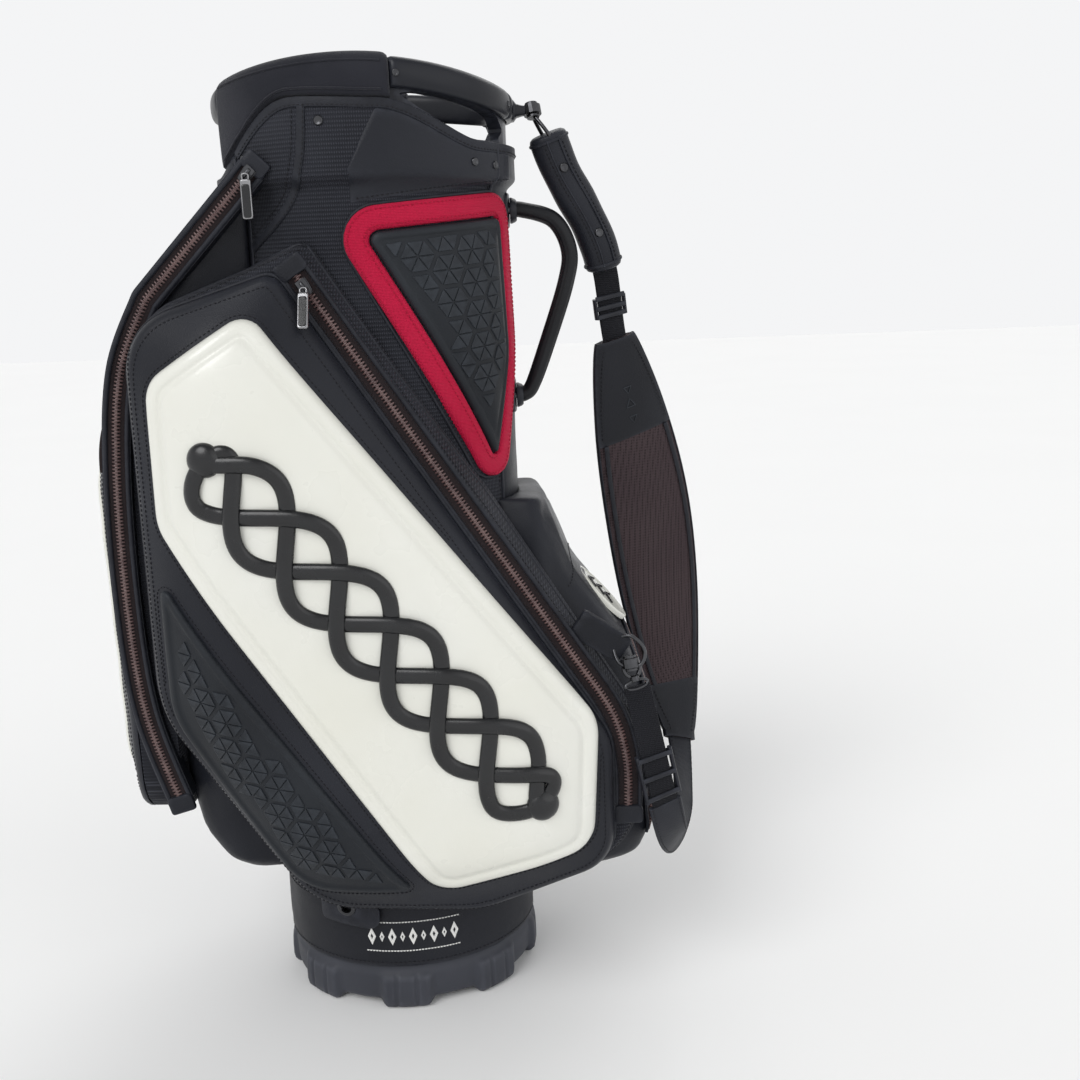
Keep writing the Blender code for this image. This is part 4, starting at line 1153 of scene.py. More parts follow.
def body_section(degrees, start, end):
    """(grow, z) round the thickness of the cover at one angle; it pulls in at the seams on both its sides."""
    from_seam = min(degrees - start, end - degrees) * ARC_PER_DEGREE
    dip = -1.3 * MM * max(0.0, 1 - from_seam / 0.005) ** 2
    top = cover_top(degrees)
    levels = [BASE_TOP + GAP + 0.04 * i for i in range(9)] + [0.47 + 0.008 * i for i in range(40)]
    section = [(dip, z) for z in levels]
    for k in range(7):
        t = k / 6
        z = FLARE_LOW + (FLARE_HIGH - FLARE_LOW) * t
        section.append((dip + FLARE * t * t * (3 - 2 * t), z))
    for t in (0.25, 0.5, 0.75, 0.92):
        section.append((dip + FLARE, FLARE_HIGH + (top - FLARE_HIGH) * t))
    section += [(dip + FLARE - 0.6 * MM, top - 0.3 * MM), (dip + FLARE - 2 * MM, top), (2.4 * MM, top)]
    section += [(2.0 * MM, top - 1 * MM), (2.0 * MM, CUFF_LOW - GAP)]
    return section + [(-BODY_WALL, CUFF_LOW - GAP), (-BODY_WALL, BASE_TOP + GAP)]


def make_panels():
    """The cover's four sewn panels."""
    skins = []
    for name, start, end, mat, slot, node in BODY_PANELS:
        steps = int((end - start) / 1.3)
        rings = []
        for i in range(steps + 1):
            a = start + 0.12 + (end - start - 0.24) * i / steps
            ring = []
            for grow, z in body_section(a, start, end):
                p = around(a, grow, z)
                ring.append(around(a, grow + (wrinkle(p, 0.045, 0.7 * MM) if grow > -MM * 2 else 0.0), z))
            rings.append(ring)
        skins.append(piece(loft(f"cover_{name}", rings, mat), "bag", slot, [node]))
    return Skin(*skins)


def make_body():
    skin = make_panels()
    seams = Batch("cover_seams", "pu")
    for a in SEAM_ANGLES:
        line = [(a, 0.135 + (cover_top(a) - 0.140) * i / 160) for i in range(161)]
        seams.cord(skin.lay(tube_rays(line)), 1.7 * MM, 1.7 * MM, lift=0.4 * MM)
    piece(seams.made(), "bag", "black_pu")

    # The cover's upper edge is bound with a folded tape, stitched through.
    line = [(a, cover_top(a) - 0.0042) for a in [-180 + 1.5 * i for i in range(240)]]
    laid = skin.lay(tube_rays(line), -0.3 * MM)
    piece(ribbon("cover_binding", laid, 0.0085, 1.5 * MM, "pu_soft", closed=True), "bag", "black_pu")
    rows = Batch("cover_stitches", "thread")
    line = [(a, cover_top(a) - 0.0066) for a in [-180 + 1.5 * i for i in range(241)]]
    stitch_row(rows, skin.lay(tube_rays(line), 1.3 * MM))
    for a in SEAM_ANGLES:
        for away in (-2.0, 2.0):
            line = [(a + away, 0.47 + (cover_top(a) - 0.484) * i / 120) for i in range(121)]
            stitch_row(rows, skin.lay(tube_rays(line), 0.1 * MM))
    piece(rows.made(), "bag", "black_pu")
    return skin


# ---------------------------------------------------------------- cuff

# (degrees, z, radius in mm) of the snaps and rivets on the shoulder.
COVER_STUDS = (
    (-101.5, 0.846, 4.2),
    (-40.5, 0.812, 3.6),
    (-28.5, 0.8105, 3.6),
    (-137, 0.820, 3.4),
    (-143.5, 0.803, 3.4),
)


def closed_curve(corners, count):
    return resample(smooth_path([Vector(c) for c in corners], 8, True), count, True)


def saddle(name, start, end, section, mat, step=1.0, blunt=3.0):
    """A piece that straddles the rim, its ends rounded off over blunt degrees."""
    steps = int((end - start) / step)
    rings = []
    for a in [start + (end - start) * i / steps for i in range(steps + 1)]:
        keep = 0.80 + 0.20 * bulge(min(a - start, end - a) / blunt)
        rim = Vector((-CUFF_WALL / 2, rim_height(a) - 0.002))
        ring = []
        for p in closed_curve(section(a), 72):
            out = p - rim
            wide = keep if out.y > 0 or p.x > 0 else 1.0
            tall = keep if out.y > 0 else 1.0
            q = rim + Vector((out.x * wide, out.y * tall))
            ring.append(around(a, q.x, q.y, CUFF_X, CUFF_Y))
        rings.append(ring)
    return loft(name, rings, mat)


def arch_section(a):
    rim = rim_height(a)
    low = rim - ARCH_TALL
    deep = -CUFF_WALL - GAP
    return [
        (0.0004, low),
        (0.0055, low - 0.0004),
        (0.0080, low + 0.004),
        (0.0086, rim - 0.008),
        (0.0072, rim - 0.001),
        (0.0030, rim + 0.0034),
        (-0.0040, rim + 0.0042),
        (deep + 0.001, rim + 0.0036),
        (deep - 0.0025, rim + 0.0004),
        (deep - 0.0034, rim - 0.006),
        (deep - 0.0030, low + 0.002),
        (deep, low),
        (deep, rim - 0.004),
        (deep + 0.002, rim + 0.0006),
        (-0.0015, rim + 0.0006),
        (0.0005, rim - 0.004),
    ]


def pad_section(a):
    rim = rim_height(a)
    low = cover_top(a) + 0.002
    deep = -CUFF_WALL - GAP
    return [
        (0.0006, low),
        (0.0070, low - 0.0006),
        (0.0096, low + 0.003),
        (0.0106, (low + rim) / 2),
        (0.0104, rim - 0.006),
        (0.0078, rim + 0.0015),
        (0.0030, rim + 0.0058),
        (-0.0040, rim + 0.0075),
        (-0.0110, rim + 0.0066),
        (deep - 0.003, rim + 0.0030),
        (deep - 0.0056, rim - 0.004),
        (deep - 0.0058, rim - 0.020),
        (deep - 0.0040, rim - 0.0315),
        (deep, rim - 0.032),
        (deep, rim - 0.006),
        (deep + 0.002, rim + 0.0006),
        (-0.0015, rim + 0.0006),
        (0.0006, rim - 0.006),
    ]


def make_cuff_pads():
    pad = saddle("cuff_pad_skin_near", -151.6, -75.2, pad_section, "velour", 1.1)
    both_sides(pad, "cuff_fabric", "cuff_pad_near", fill=0.8)

    # A piped seam runs along the pad's lower edge, and a second one just under the rim.
    skin = Skin(pad)
    seams = Batch("cuff_pad_seams_near", "velour")
    angles = [-149 + 71.5 * i / 99 for i in range(100)]
    for line in ([(a, cover_top(a) + 0.0062) for a in angles], [(a, rim_height(a) - 0.0015) for a in angles]):
        seams.cord(skin.lay(tube_rays(line), 0.2 * MM), 1.1 * MM, 1.1 * MM, 8)
    both_sides(seams.made(), "cuff_fabric")


def make_cuff_handles():
    handle = saddle("cuff_handle_skin_near", -74.8, -11.3, arch_section, "plastic")
    both_sides(handle, "cuff_plastic", "cuff_handle_near")
    front = saddle("cuff_handle_skin_front", 152, 208, arch_section, "plastic")
    piece(front, "bag", "cuff_plastic", ["cuff_handle_front"])
    cap = saddle("cuff_cap_skin", -10.9, 10.9, arch_section, "plastic", 0.7, 2.0)
    piece(cap, "bag", "cuff_plastic", ["cuff_spine_cap"])
    screws = Batch("handle_screws_near", "gunmetal")
    skin = Skin(handle)
    for a in (-71.8, -14.4):
        for place, normal in skin.lay(tube_rays([(a, rim_height(a) - 0.010)]), 0.0):
            dome_stud(screws, place, normal, 3.0 * MM, 0.9 * MM)
    both_sides(screws.made(), "dark_metal")


def yoke_height(a, t):
    low = 0.7785 + 0.019 * (a + 92) / 78
    return low + (cover_top(a) - 0.0075 - low) * t


def make_yoke(cover):
    """A smooth yoke that covers the shoulder under the near lift handle."""
    rings = []
    steps = 70
    for i in range(steps + 1):
        a = -92 + 78 * i / steps
        left = max(0.0, 1 - (a + 92) / 12.0)
        rows = [(a, yoke_height(a, k / 14 * (1 - left * 0.65) if k else 0.0)) for k in range(15)]
        from_end = min(i, steps - i) / 1.5
        laid = cover.lay(tube_rays(rows))
        ring = []
        for k, (place, normal) in enumerate(laid):
            edge = min(k, 14 - k, from_end) / 1.2
            ring.append(place + normal * (1.5 * MM * min(edge, 1.0) ** 0.5 - 0.2 * MM))
        rings.append(ring + [place - normal * 0.8 * MM for place, normal in reversed(laid)])
    yoke = loft("shoulder_yoke_near", rings, "pu")
    both_sides(yoke, "black_pu")
    skin = Skin(yoke)
    rows = Batch("shoulder_stitches_near", "thread")
    line = [(-90 + 74 * i / 90, yoke_height(-90 + 74 * i / 90, 0.0) + 0.0030) for i in range(91)]
    stitch_row(rows, skin.lay(tube_rays(line), 0.1 * MM))
    both_sides(rows.made(), "black_pu")
    return skin


def make_cover_studs(cover, yoke):
    """Snaps and rivets through the cover, or through the yoke where it lies over the cover."""
    studs = Batch("cover_studs_near", "gunmetal")
    for a, z, radius in COVER_STUDS:
        rays = tube_rays([(a, z)])
        for place, normal in yoke.lay(rays) or cover.lay(rays):
            dome_stud(studs, place, normal, radius * MM, 1.6 * MM)
    both_sides(studs.made(), "dark_metal")


# ---------------------------------------------------------------- side pocket

# How far a panel stands out, in mm, at each distance from its edge.
WHITE_KEYS = (
    (0.0, 0.3), (0.0007, 2.2), (0.0016, 3.9), (0.003, 5.2), (0.0048, 5.9), (0.0100, 6.0),
    (0.0118, 4.6), (0.0134, 3.7), (0.0152, 3.9), (0.0172, 5.5), (0.0195, 6.0), (1.0, 6.0),
)
TEXTURE_KEYS = (
    (0.0, 0.2), (0.0007, 2.0), (0.0016, 3.4), (0.003, 4.3),
    (0.0062, 4.4), (0.0078, 3.5), (0.0092, 2.7), (1.0, 2.7),
)


def make_gusset():
    edge = edge_line(GUSSET, 120)

    def front(p, d):
        seam = tube_depth(p.x) + 0.005
        t = min(edge_distance(edge, p) / 0.012, 1.0)
        depth = seam + (GUSSET_Y - 0.0002 - seam) * (1 - (1 - t) ** 2)
        return depth + wrinkle((p.x, 0, p.y), 0.03, 0.35 * MM) * t

    steps = (0.0, 0.0008, 0.002, 0.004, 0.007, 0.010, 0.013, 0.018, 0.025, 0.035, 0.045)
    gusset = patch(
        "side_gusset_skin_near", GUSSET, front, lambda p: tube_depth(p.x) + 1.6 * MM, near_side,
        "weave_side", steps,
    )
    both_sides(gusset, "black_pu", "side_gusset_near")
    return gusset


def roll_over(d, width, drop):
    """How far an edge's surface is lowered d inside it."""
    return drop * max(0.0, 1 - d / width) ** 2.2


def profile(d, keys):
    for (d0, h0), (d1, h1) in zip(keys, keys[1:]):
        if d <= d1:
            return h0 + (h1 - h0) * max(0.0, (d - d0) / (d1 - d0))
    return keys[-1][1]


def make_side_cover():
    def front(p, d):
        uneven = wrinkle((p.x, 0, p.y), 0.05, 0.8 * MM)
        return cover_depth(p) - roll_over(d, 0.006, 4.5 * MM) + uneven - 0.3 * MM

    steps = (0.0, 0.0008, 0.0018, 0.003, 0.0045, 0.006, 0.009)
    steps += (0.013, 0.018, 0.024, 0.031, 0.039, 0.048, 0.057)
    back = GUSSET_Y + 0.6 * MM
    cover = patch("side_cover_skin_near", COVER, front, lambda p: back, near_side, "pu", steps, 240)
    both_sides(cover, "black_pu", "side_cover_near", fill=0.9)
    return cover


def side_panel(name, corners, keys, mat, slot, more, count):
    """A moulded panel on the side cover. keys say how far it stands out at each distance from its edge."""
    insets = [d for d, _ in keys[:-1]] + more
    panel = patch(
        f"{name}_skin_near", corners, lambda p, d: cover_depth(p) + profile(d, keys) * MM,
        lambda p: cover_depth(p) - 1.2 * MM, near_side, mat, insets, count,
    )
    both_sides(panel, slot, f"{name}_near", fill=1.0)
    return panel


def make_side_stitches(skin):
    """Rows inside the edges of the cover and the gusset, and round both panels, broken where a panel lies."""
    rows = Batch("side_stitches_near", "thread")
    panels = [rounded(inset(corners, -0.002)) for corners in (WHITE, TEXTURE)]
    field = rounded(inset(COVER, 0.010))
    lines = [
        (edge_line(COVER, 500, 0.0085), lambda p: not any(inside(panel, p) for panel in panels)),
        (edge_line(GUSSET, 500, 0.0065), lambda p: not any(inside(panel, p) for panel in panels)),
        (edge_line(WHITE, 400, -0.0035), lambda p: inside(field, p) and not inside(panels[1], p)),
        (edge_line(TEXTURE, 400, -0.0035), lambda p: inside(field, p) and not inside(panels[0], p)),
    ]
    for line, wanted in lines:
        for run in runs_where(line, wanted):
            stitch_row(rows, skin.lay(side_rays(run), 0.1 * MM))
    both_sides(rows.made(), "black_pu")


def make_side_pocket():
    gusset = make_gusset()
    cover = make_side_cover()
    white = side_panel("white_panel", WHITE, WHITE_KEYS, "white", "white_pu", [0.022, 0.026, 0.031], 300)
    texture = side_panel(
        "texture_panel", TEXTURE, TEXTURE_KEYS, "moulded_pu", "textured_pu", [0.0125, 0.016], 260
    )
    tiles = Batch("texture_tiles_near", "moulded_pu", 30)
    mosaic(
        tiles, TEXTURE, 0.0090, 0.0165, math.radians(-8),
        lambda p, lift: near_side(p, cover_depth(p) + 2.7 * MM + lift), 1.2 * MM,
    )
    both_sides(tiles.made(), "textured_pu")

    # Welts round the pocket's cover and its gusset.
    skin = Skin(gusset, cover, white, texture)
    laid = [(near_side(p, GUSSET_Y + 2.2 * MM), NEAR) for p in edge_line(COVER, 420, -0.0012)]
    both_sides(piping("side_cover_welt_near", laid, 2.2 * MM, "pu_soft", True, 0.0), "black_pu")
    laid = skin.lay(side_rays(edge_line(GUSSET, 420, 0.0015)))
    both_sides(piping("side_gusset_welt_near", laid, 1.7 * MM, "pu_soft", True), "black_pu")
    make_side_stitches(skin)
    return white


def runs_where(points, wanted):
    """The unbroken runs of a closed line's points that are wanted."""
    keep = [wanted(p) for p in points]
    if all(keep):
        return [points + points[:1]]
    first = keep.index(False)
    runs, run = [], []
    for k in range(len(points) + 1):
        i = (first + k) % len(points)
        if keep[i]:
            run.append(points[i])
        elif run:
            runs.append(run)
            run = []
    return [found for found in runs if len(found) > 6]


def plait(batch, start, end, half, waves, radius, point, steps=420):
    """A three-strand plait from start to end, laid on a surface. point(p) gives a place and its normal."""
    along = (end - start).normalized()
    across = Vector((-along.y, along.x))
    for strand in range(3):
        phase = 2 * math.pi * strand / 3
        path, normals = [], []
        for i in range(steps + 1):
            t = i / steps
            turn = 2 * math.pi * waves * t + phase
            keep = bulge(min(t, 1 - t) / 0.07) * 0.86 + 0.14
            p = start.lerp(end, t) + across * half * keep * math.sin(turn)
            place, normal = point(p)
            path.append(place + normal * radius * (0.24 + 0.30 * math.sin(2 * turn)) * keep)
            normals.append(normal)
        batch.rings(sweep_rings(path, disc(radius, radius * 0.56, 16), normals))


def make_braid(white):
    """A plain three-strand plait between two round studs, raised on the white panel's long diagonal."""
    skin = Skin(white)

    def point(p):
        return skin.lay(side_rays([p]))[0]

    start, end = Vector((-0.128, 0.570)), Vector((0.140, 0.253))
    strands = Batch("panel_plait_near", "braid")
    plait(strands, start, end, 0.034, 2.2, 7.4 * MM, point)
    for share in (-0.006, 1.006):
        place, normal = point(start.lerp(end, share))
        button(strands, place, normal, 15.0 * MM, 8.5 * MM)
    both_sides(strands.made(), "black_pu")


# ---------------------------------------------------------------- accent pads

# How far the border and the pad stand out, in mm, at each distance from their edges.
BORDER_KEYS = (
    (0.0, 1.0), (0.0004, 2.6), (0.0012, 4.0), (0.0026, 5.0), (0.0050, 5.5), (0.0105, 5.7),
    (0.0160, 5.5), (0.0184, 5.0), (0.0198, 4.0), (0.0206, 2.6), (0.0210, 1.0),
)
ACCENT_KEYS = (
    (0.0, 1.6), (0.0006, 4.0), (0.0016, 5.6), (0.0034, 6.6), (0.0062, 7.2), (0.0074, 6.4),
    (0.0090, 6.3), (0.0120, 8.2), (0.0170, 9.6), (0.0240, 10.2), (0.034, 10.5), (1.0, 10.5),
)


def make_accent_border(cover):
    rings = [[on_tube(p, grow * MM) for p in edge_line(ACCENT, 300, d)] for d, grow in BORDER_KEYS]
    border = loft("accent_border_skin_near", rings, "red", closed=True)
    both_sides(border, "red_fabric", "accent_border_near", fill=0.9)
    skin = Skin(border)
    rows = Batch("accent_stitches_near", "red_thread")
    for d in (0.0036, 0.0174):
        stitch_row(rows, skin.lay(arc_rays(edge_line(ACCENT, 420, d)), 0.1 * MM), 0.0040, 0.7, 0.0005)
    both_sides(rows.made(), "red_fabric")
    laid = cover.lay(arc_rays(edge_line(ACCENT, 400, -0.0008)), 0.3 * MM)
    both_sides(piping("accent_welt_near", laid, 1.6 * MM, "pu_soft", True, 0.0), "black_pu")


def make_accent_pad():
    filling = inset(ACCENT, 0.0222)
    pad = patch(
        "accent_pad_skin_near", filling,
        lambda p, d: profile(d, ACCENT_KEYS) * MM, lambda p: 1.4 * MM, on_tube,
        "moulded_pu", [d for d, _ in ACCENT_KEYS[:-1]], 260,
    )
    both_sides(pad, "textured_pu", "accent_pad_near", fill=1.0)
    skin = Skin(pad)
    tiles = Batch("accent_tiles_near", "moulded_pu", 30)

    def surface(p, lift):
        (place, normal), = skin.lay(arc_rays([p]))
        return place + normal * lift

    mosaic(tiles, filling, 0.0085, 0.0165, math.radians(6), surface, 1.1 * MM)
    both_sides(tiles.made(), "textured_pu")


# ---------------------------------------------------------------- front, ball and rear pockets


def mirrored(*points):
    """A line's (across, z) points from its left end to its middle, and their mirror images back out."""
    right = [(-x, z) for x, z in reversed(points) if x != 0.0]
    return list(points) + right


FRONT_SEAMS = (
    mirrored((-0.088, 0.700), (-0.070, 0.7215), (-0.035, 0.731), (0.0, 0.733)),
    mirrored((-0.088, 0.632), (-0.050, 0.640), (0.0, 0.642)),
)
FLANGE = [
    (-11.0, 0.6), (11.0, 0.6), (12.4, -1.0), (12.6, -9.0),
    (11.0, -17.0), (-11.0, -17.0), (-12.6, -9.0), (-12.4, -1.0),
]
BALL_PANEL = [
    (-0.060, 0.250, 0.020),
    (0.060, 0.250, 0.020),
    (0.066, 0.520, 0.024),
    (0.040, 0.560, 0.020),
    (-0.040, 0.560, 0.020),
    (-0.066, 0.520, 0.024),
]
REAR_ARCH = mirrored((-0.071, 0.165), (-0.074, 0.235), (-0.070, 0.300), (-0.052, 0.338), (-0.022, 0.350))
REAR_ROWS = (
    mirrored((-0.060, 0.170), (-0.060, 0.285), (-0.040, 0.322), (0.0, 0.330)),
    mirrored((-0.074, 0.420), (-0.040, 0.437), (0.0, 0.440)),
)
BADGE_KEYS = (
    (0.3, -2.0), (1.0, -2.0), (1.0, 1.2), (0.985, 2.6), (0.95, 3.2),
    (0.90, 3.2), (0.87, 2.2), (0.6, 2.3), (0.3, 2.4), (0.03, 2.4),
)


def level_at(levels, z):
    """A pocket's (front, half width) at a height, with the levels' corners evened out."""
    def sharp(height):
        height = min(max(height, levels[0][0]), levels[-1][0])
        for (z0, x0, y0), (z1, x1, y1) in zip(levels, levels[1:]):
            if height <= z1:
                t = (height - z0) / (z1 - z0)
                return x0 + (x1 - x0) * t, y0 + (y1 - y0) * t

    near = [sharp(z + dz) for dz in (-0.006, -0.003, 0.0, 0.003, 0.006)]
    return sum(x for x, _ in near) / 5, sum(y for _, y in near) / 5


def pocket_ring(side, front_x, half_y, z, round_by):
    """Plan of a pocket: an arc that lies on the tube, slanting seams and a rounded, slightly full front."""
    edge = min(tube_depth(SEAM_X) - 0.002, half_y - 0.004)
    arc = []
    for i in range(13):
        y = -edge + 2 * edge * i / 12
        arc.append((TUBE_X * math.sqrt(1 - (y / TUBE_Y) ** 2) - 0.001, y))
    reach = max(front_x - round_by, 0.135)
    flank = min(half_y, tube_depth(reach) - 0.0012)
    seam = tube_depth(0.135)
    nose = [(0.135 + (reach - 0.135) * t, min(half_y - 0.001, seam + (flank - seam) * t)) for t in (0.2, 0.6)]
    for k in range(15):
        t = math.pi / 2 * k / 14
        nose.append((reach + (front_x - reach) * math.sin(t), flank - flank * 0.22 * (1 - math.cos(t))))
    nose += [(front_x, flank * 0.78 * (1 - k / 6)) for k in range(1, 6)]
    found = []
    for x, y in arc + nose + [(x, -y) for x, y in reversed(nose)]:
        full = wrinkle((side * x, y, z), 0.05, 1.2 * MM) if x > 0.14 else 0.0
        found.append(Vector((side * (x + full), y, z)))
    return found


def make_pocket(name, side, levels, held, node):
    """A padded pocket's skin at the front (side -1) or the spine (side 1), sewn down where held says."""
    low, high = levels[0][0], levels[-1][0]
    heights = [low + 0.0015 * i for i in range(4)]
    heights += [low + 0.006 + (high - low - 0.012) * i / 90 for i in range(91)]
    heights += [high - 0.0045, high - 0.003, high - 0.0015, high]
    rings = []
    for z in heights:
        x, y = level_at(levels, z)
        x -= 0.004 * (1 - bulge(min(z - low, high - z) / 0.006))
        rings.append(pocket_ring(side, x, y, z, min(0.045, (x - 0.13) * 0.6)))
    pocket = piece(loft(name, rings, "pu"), "bag", "black_pu", [node])
    puff(pocket, 0.004, 0.005, 3.0, held)
    return Skin(pocket)


def zip_pair(name, path, normals, wide):
    """Both halves of a zip that stays closed on the bag."""
    made = []
    for side, word in ((-1, "low"), (1, "high")):
        made += zip_half(f"{name}_{word}", path, normals, side, wide, "bag")
    return made


def near_zip(name, path, wide):
    """A zip on the near side and its copy on the far side, which stand for the CAD's two."""
    halves = zip_pair(f"{name}_skin_near", path, [NEAR] * len(path), wide)
    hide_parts(f"{name}_near")
    for half in halves:
        nodes = [f"{name}_far"] if half is halves[0] else []
        mirror(half, half.name.replace("near", "far"), "bag", "zip_coil", nodes)


def zip_garage(batch, place, along, wide, long):
    """A folded leather tab that covers the end of a zip."""
    along = along.normalized()
    across = along.cross(NEAR)
    x, y = wide / 2, long / 2
    edge = resample(rounded([(-x, -y, 0.005), (x, -y, 0.005), (x, y, 0.003), (-x, y, 0.003)]), 60, True)
    rings = []
    for share, lift in ((0.98, 0.0), (1.0, 1.6), (0.97, 3.2), (0.90, 3.9), (0.6, 4.2), (0.1, 4.3)):
        rings.append([place + across * p.x * share + along * p.y * share + NEAR * lift * MM for p in edge])
    batch.rings(rings)


def make_front_seams(skin):
    """A seam over the shoulder and one above the ball pocket, each stitched on both sides."""
    rows = Batch("front_pocket_stitches", "thread")
    seams = Batch("front_pocket_seams", "pu_soft")
    for points in FRONT_SEAMS:
        line = curved(points)
        seams.cord(skin.lay(end_rays(line, -1)), 1.7 * MM, 1.7 * MM)
        for away in (-4.2 * MM, 4.2 * MM):
            stitch_row(rows, skin.lay(end_rays([p + Vector((0, away)) for p in line], -1), 0.1 * MM))
    piece(seams.made(), "bag", "black_pu")
    piece(rows.made(), "bag", "black_pu")


def make_front_zip():
    path = resample([FRONT_ZIP[0]] + smooth_path(FRONT_ZIP[1:], 12), 320)
    path = [p + NEAR * 0.3 * MM for p in path]
    near_zip("front_zip", path, 0.018)
    # A padded flange carries the zip where it leaves the pocket's flank for the cuff.
    section = [(p.x * MM, p.y * MM) for p in closed_curve(FLANGE, 32)]
    flange = loft("front_zip_flange_near", sweep_rings(path[2:-2], section, lambda i: NEAR), "pu")
    both_sides(flange, "black_pu")
    edges = Batch("front_zip_edges_near", "pu")
    for side in (-1, 1):
        edges.bar(beside(path, side * 0.0098, 1.0 * MM, lambda i: NEAR), 2.3 * MM, 1.9 * MM, lambda i: NEAR)
    zip_garage(edges, path[0] + (path[0] - path[1]).normalized() * 0.002, path[0] - path[1], 0.024, 0.016)
    zip_garage(edges, path[-1], path[-1] - path[-2], 0.025, 0.018)
    both_sides(edges.made(), "black_pu")


def make_front_pocket():
    skin = make_pocket("front_pocket_skin", -1, FRONT_LEVELS, lambda p: p.x > -0.150, "front_pocket")
    make_front_seams(skin)
    make_front_zip()


def make_ball_gusset():
    """The open box behind the ball pocket's door."""
    outer, inner = edge_line(BALL, 320), edge_line(BALL, 320, 0.004)
    middle = sum(outer, Vector((0, 0))) / 320
    rings = []
    for loop, depth, share in (
        (outer, BALL_BACK, 0.5),
        (outer, BALL_BACK, 0.985),
        (outer, BALL_BACK + 0.0015, 1.0),
        (outer, BALL_BACK + 0.010, 1.0),
        (outer, BALL_RIM - 0.018, 1.002),
        (outer, BALL_RIM - 0.002, 1.0),
        (outer, BALL_RIM - 0.0004, 0.994),
        (inner, BALL_RIM - 0.0004, 1.004),
        (inner, BALL_RIM - 0.002, 1.0),
        (inner, BALL_BACK + 0.006, 1.0),
        (inner, BALL_BACK + 0.004, 0.985),
        (inner, BALL_BACK + 0.004, 0.5),
    ):
        rings.append([front_side(middle + (p - middle) * share, depth) for p in loop])
    gusset = loft("ball_pocket_gusset_skin", rings, "weave_front")
    piece(gusset, "bag", "woven_fabric", ["ball_pocket_gusset"])


def make_ball_door():
    """The door with its raised white panel, a short plait on it, and stitching round both."""
    def face(p, d):
        depth = BALL_RIM + 0.005 + (BALL_FACE - BALL_RIM - 0.005) * crown(BALL, p, 0.085)
        return depth - roll_over(d, 0.006, 4.0 * MM) + wrinkle((0, p.x, p.y), 0.04, 0.9 * MM)

    steps = (0.0, 0.0008, 0.002, 0.0035, 0.006, 0.009, 0.013, 0.018, 0.024, 0.031, 0.039, 0.048)
    back = BALL_RIM + 0.6 * MM
    door = patch("ball_pocket_door_skin", BALL, face, lambda p: back, front_side, "pu", steps, 240)
    piece(door, "ball_pocket_door", "black_pu", ["ball_pocket_door"])
    skin = Skin(door)
    inlay = drape(
        "ball_pocket_panel", BALL_PANEL, 2.6 * MM, skin, lambda loop: end_rays(loop, -1), "white", 200, 0.004
    )
    piece(inlay, "ball_pocket_door", "white_pu", ())
    over = Skin(inlay)
    ridge = Batch("ball_pocket_braid", "braid")
    plait(
        ridge, Vector((0.0, 0.300)), Vector((0.0, 0.510)), 0.021, 2.0, 4.4 * MM,
        lambda p: over.lay(end_rays([p], -1))[0], 300,
    )
    piece(ridge.made(), "ball_pocket_door", "black_pu")
    rows = Batch("ball_pocket_stitches", "thread")
    for line in (edge_line(BALL, 300, 0.010), edge_line(BALL_PANEL, 300, -0.004)):
        stitch_row(rows, skin.lay(end_rays(line, -1), 0.1 * MM))
    piece(rows.made(), "ball_pocket_door", "black_pu")


def make_ball_zip():
    """The ball pocket's zip runs up, over and down; the pocket's bottom edge is the hinge."""
    line = rounded(BALL, 16)
    first = min(range(len(line)), key=lambda i: (line[i] - Vector((0.092, 0.255))).length)
    line = resample([p for p in line[first:] + line[:first] if p.y > 0.250], 300)
    path, normals = [], []
    for i, p in enumerate(line):
        tangent = (line[min(i + 1, 299)] - line[max(i - 1, 0)]).normalized()
        out = Vector((tangent.y, -tangent.x))
        if out.dot(p - Vector((0, 0.4))) < 0:
            out = -out
        normals.append(Vector((0, out.x, out.y)))
        path.append(front_side(p, BALL_RIM - 0.0005) + normals[-1] * 0.4 * MM)
    inward = 1 if (path[1] - path[0]).cross(normals[0]).x > 0 else -1
    zip_half("ball_zip_fixed", path, normals, inward, 0.016, "bag")
    zip_half("ball_zip_moving", path, normals, -inward, 0.016, "ball_pocket_door")


def make_rear_pocket():
    skin = make_pocket("rear_pocket_skin", 1, REAR_LEVELS, lambda p: p.x < 0.150, "rear_pocket")
    laid = skin.lay(end_rays(curved(REAR_ARCH), 1), 0.3 * MM)
    path, normals = [p for p, _ in laid], [n for _, n in laid]
    zip_pair("rear_zip_skin", path, normals, 0.018)
    edges = Batch("rear_zip_edges", "pu")
    for side in (-1, 1):
        edges.bar(beside(path, side * 0.0098, 0.6 * MM, normals), 2.1 * MM, 1.7 * MM, normals)
    piece(edges.made(), "bag", "black_pu")
    rows = Batch("rear_pocket_stitches", "thread")
    for points in REAR_ROWS:
        stitch_row(rows, skin.lay(end_rays(curved(points), 1), 0.1 * MM))
    piece(rows.made(), "bag", "black_pu")


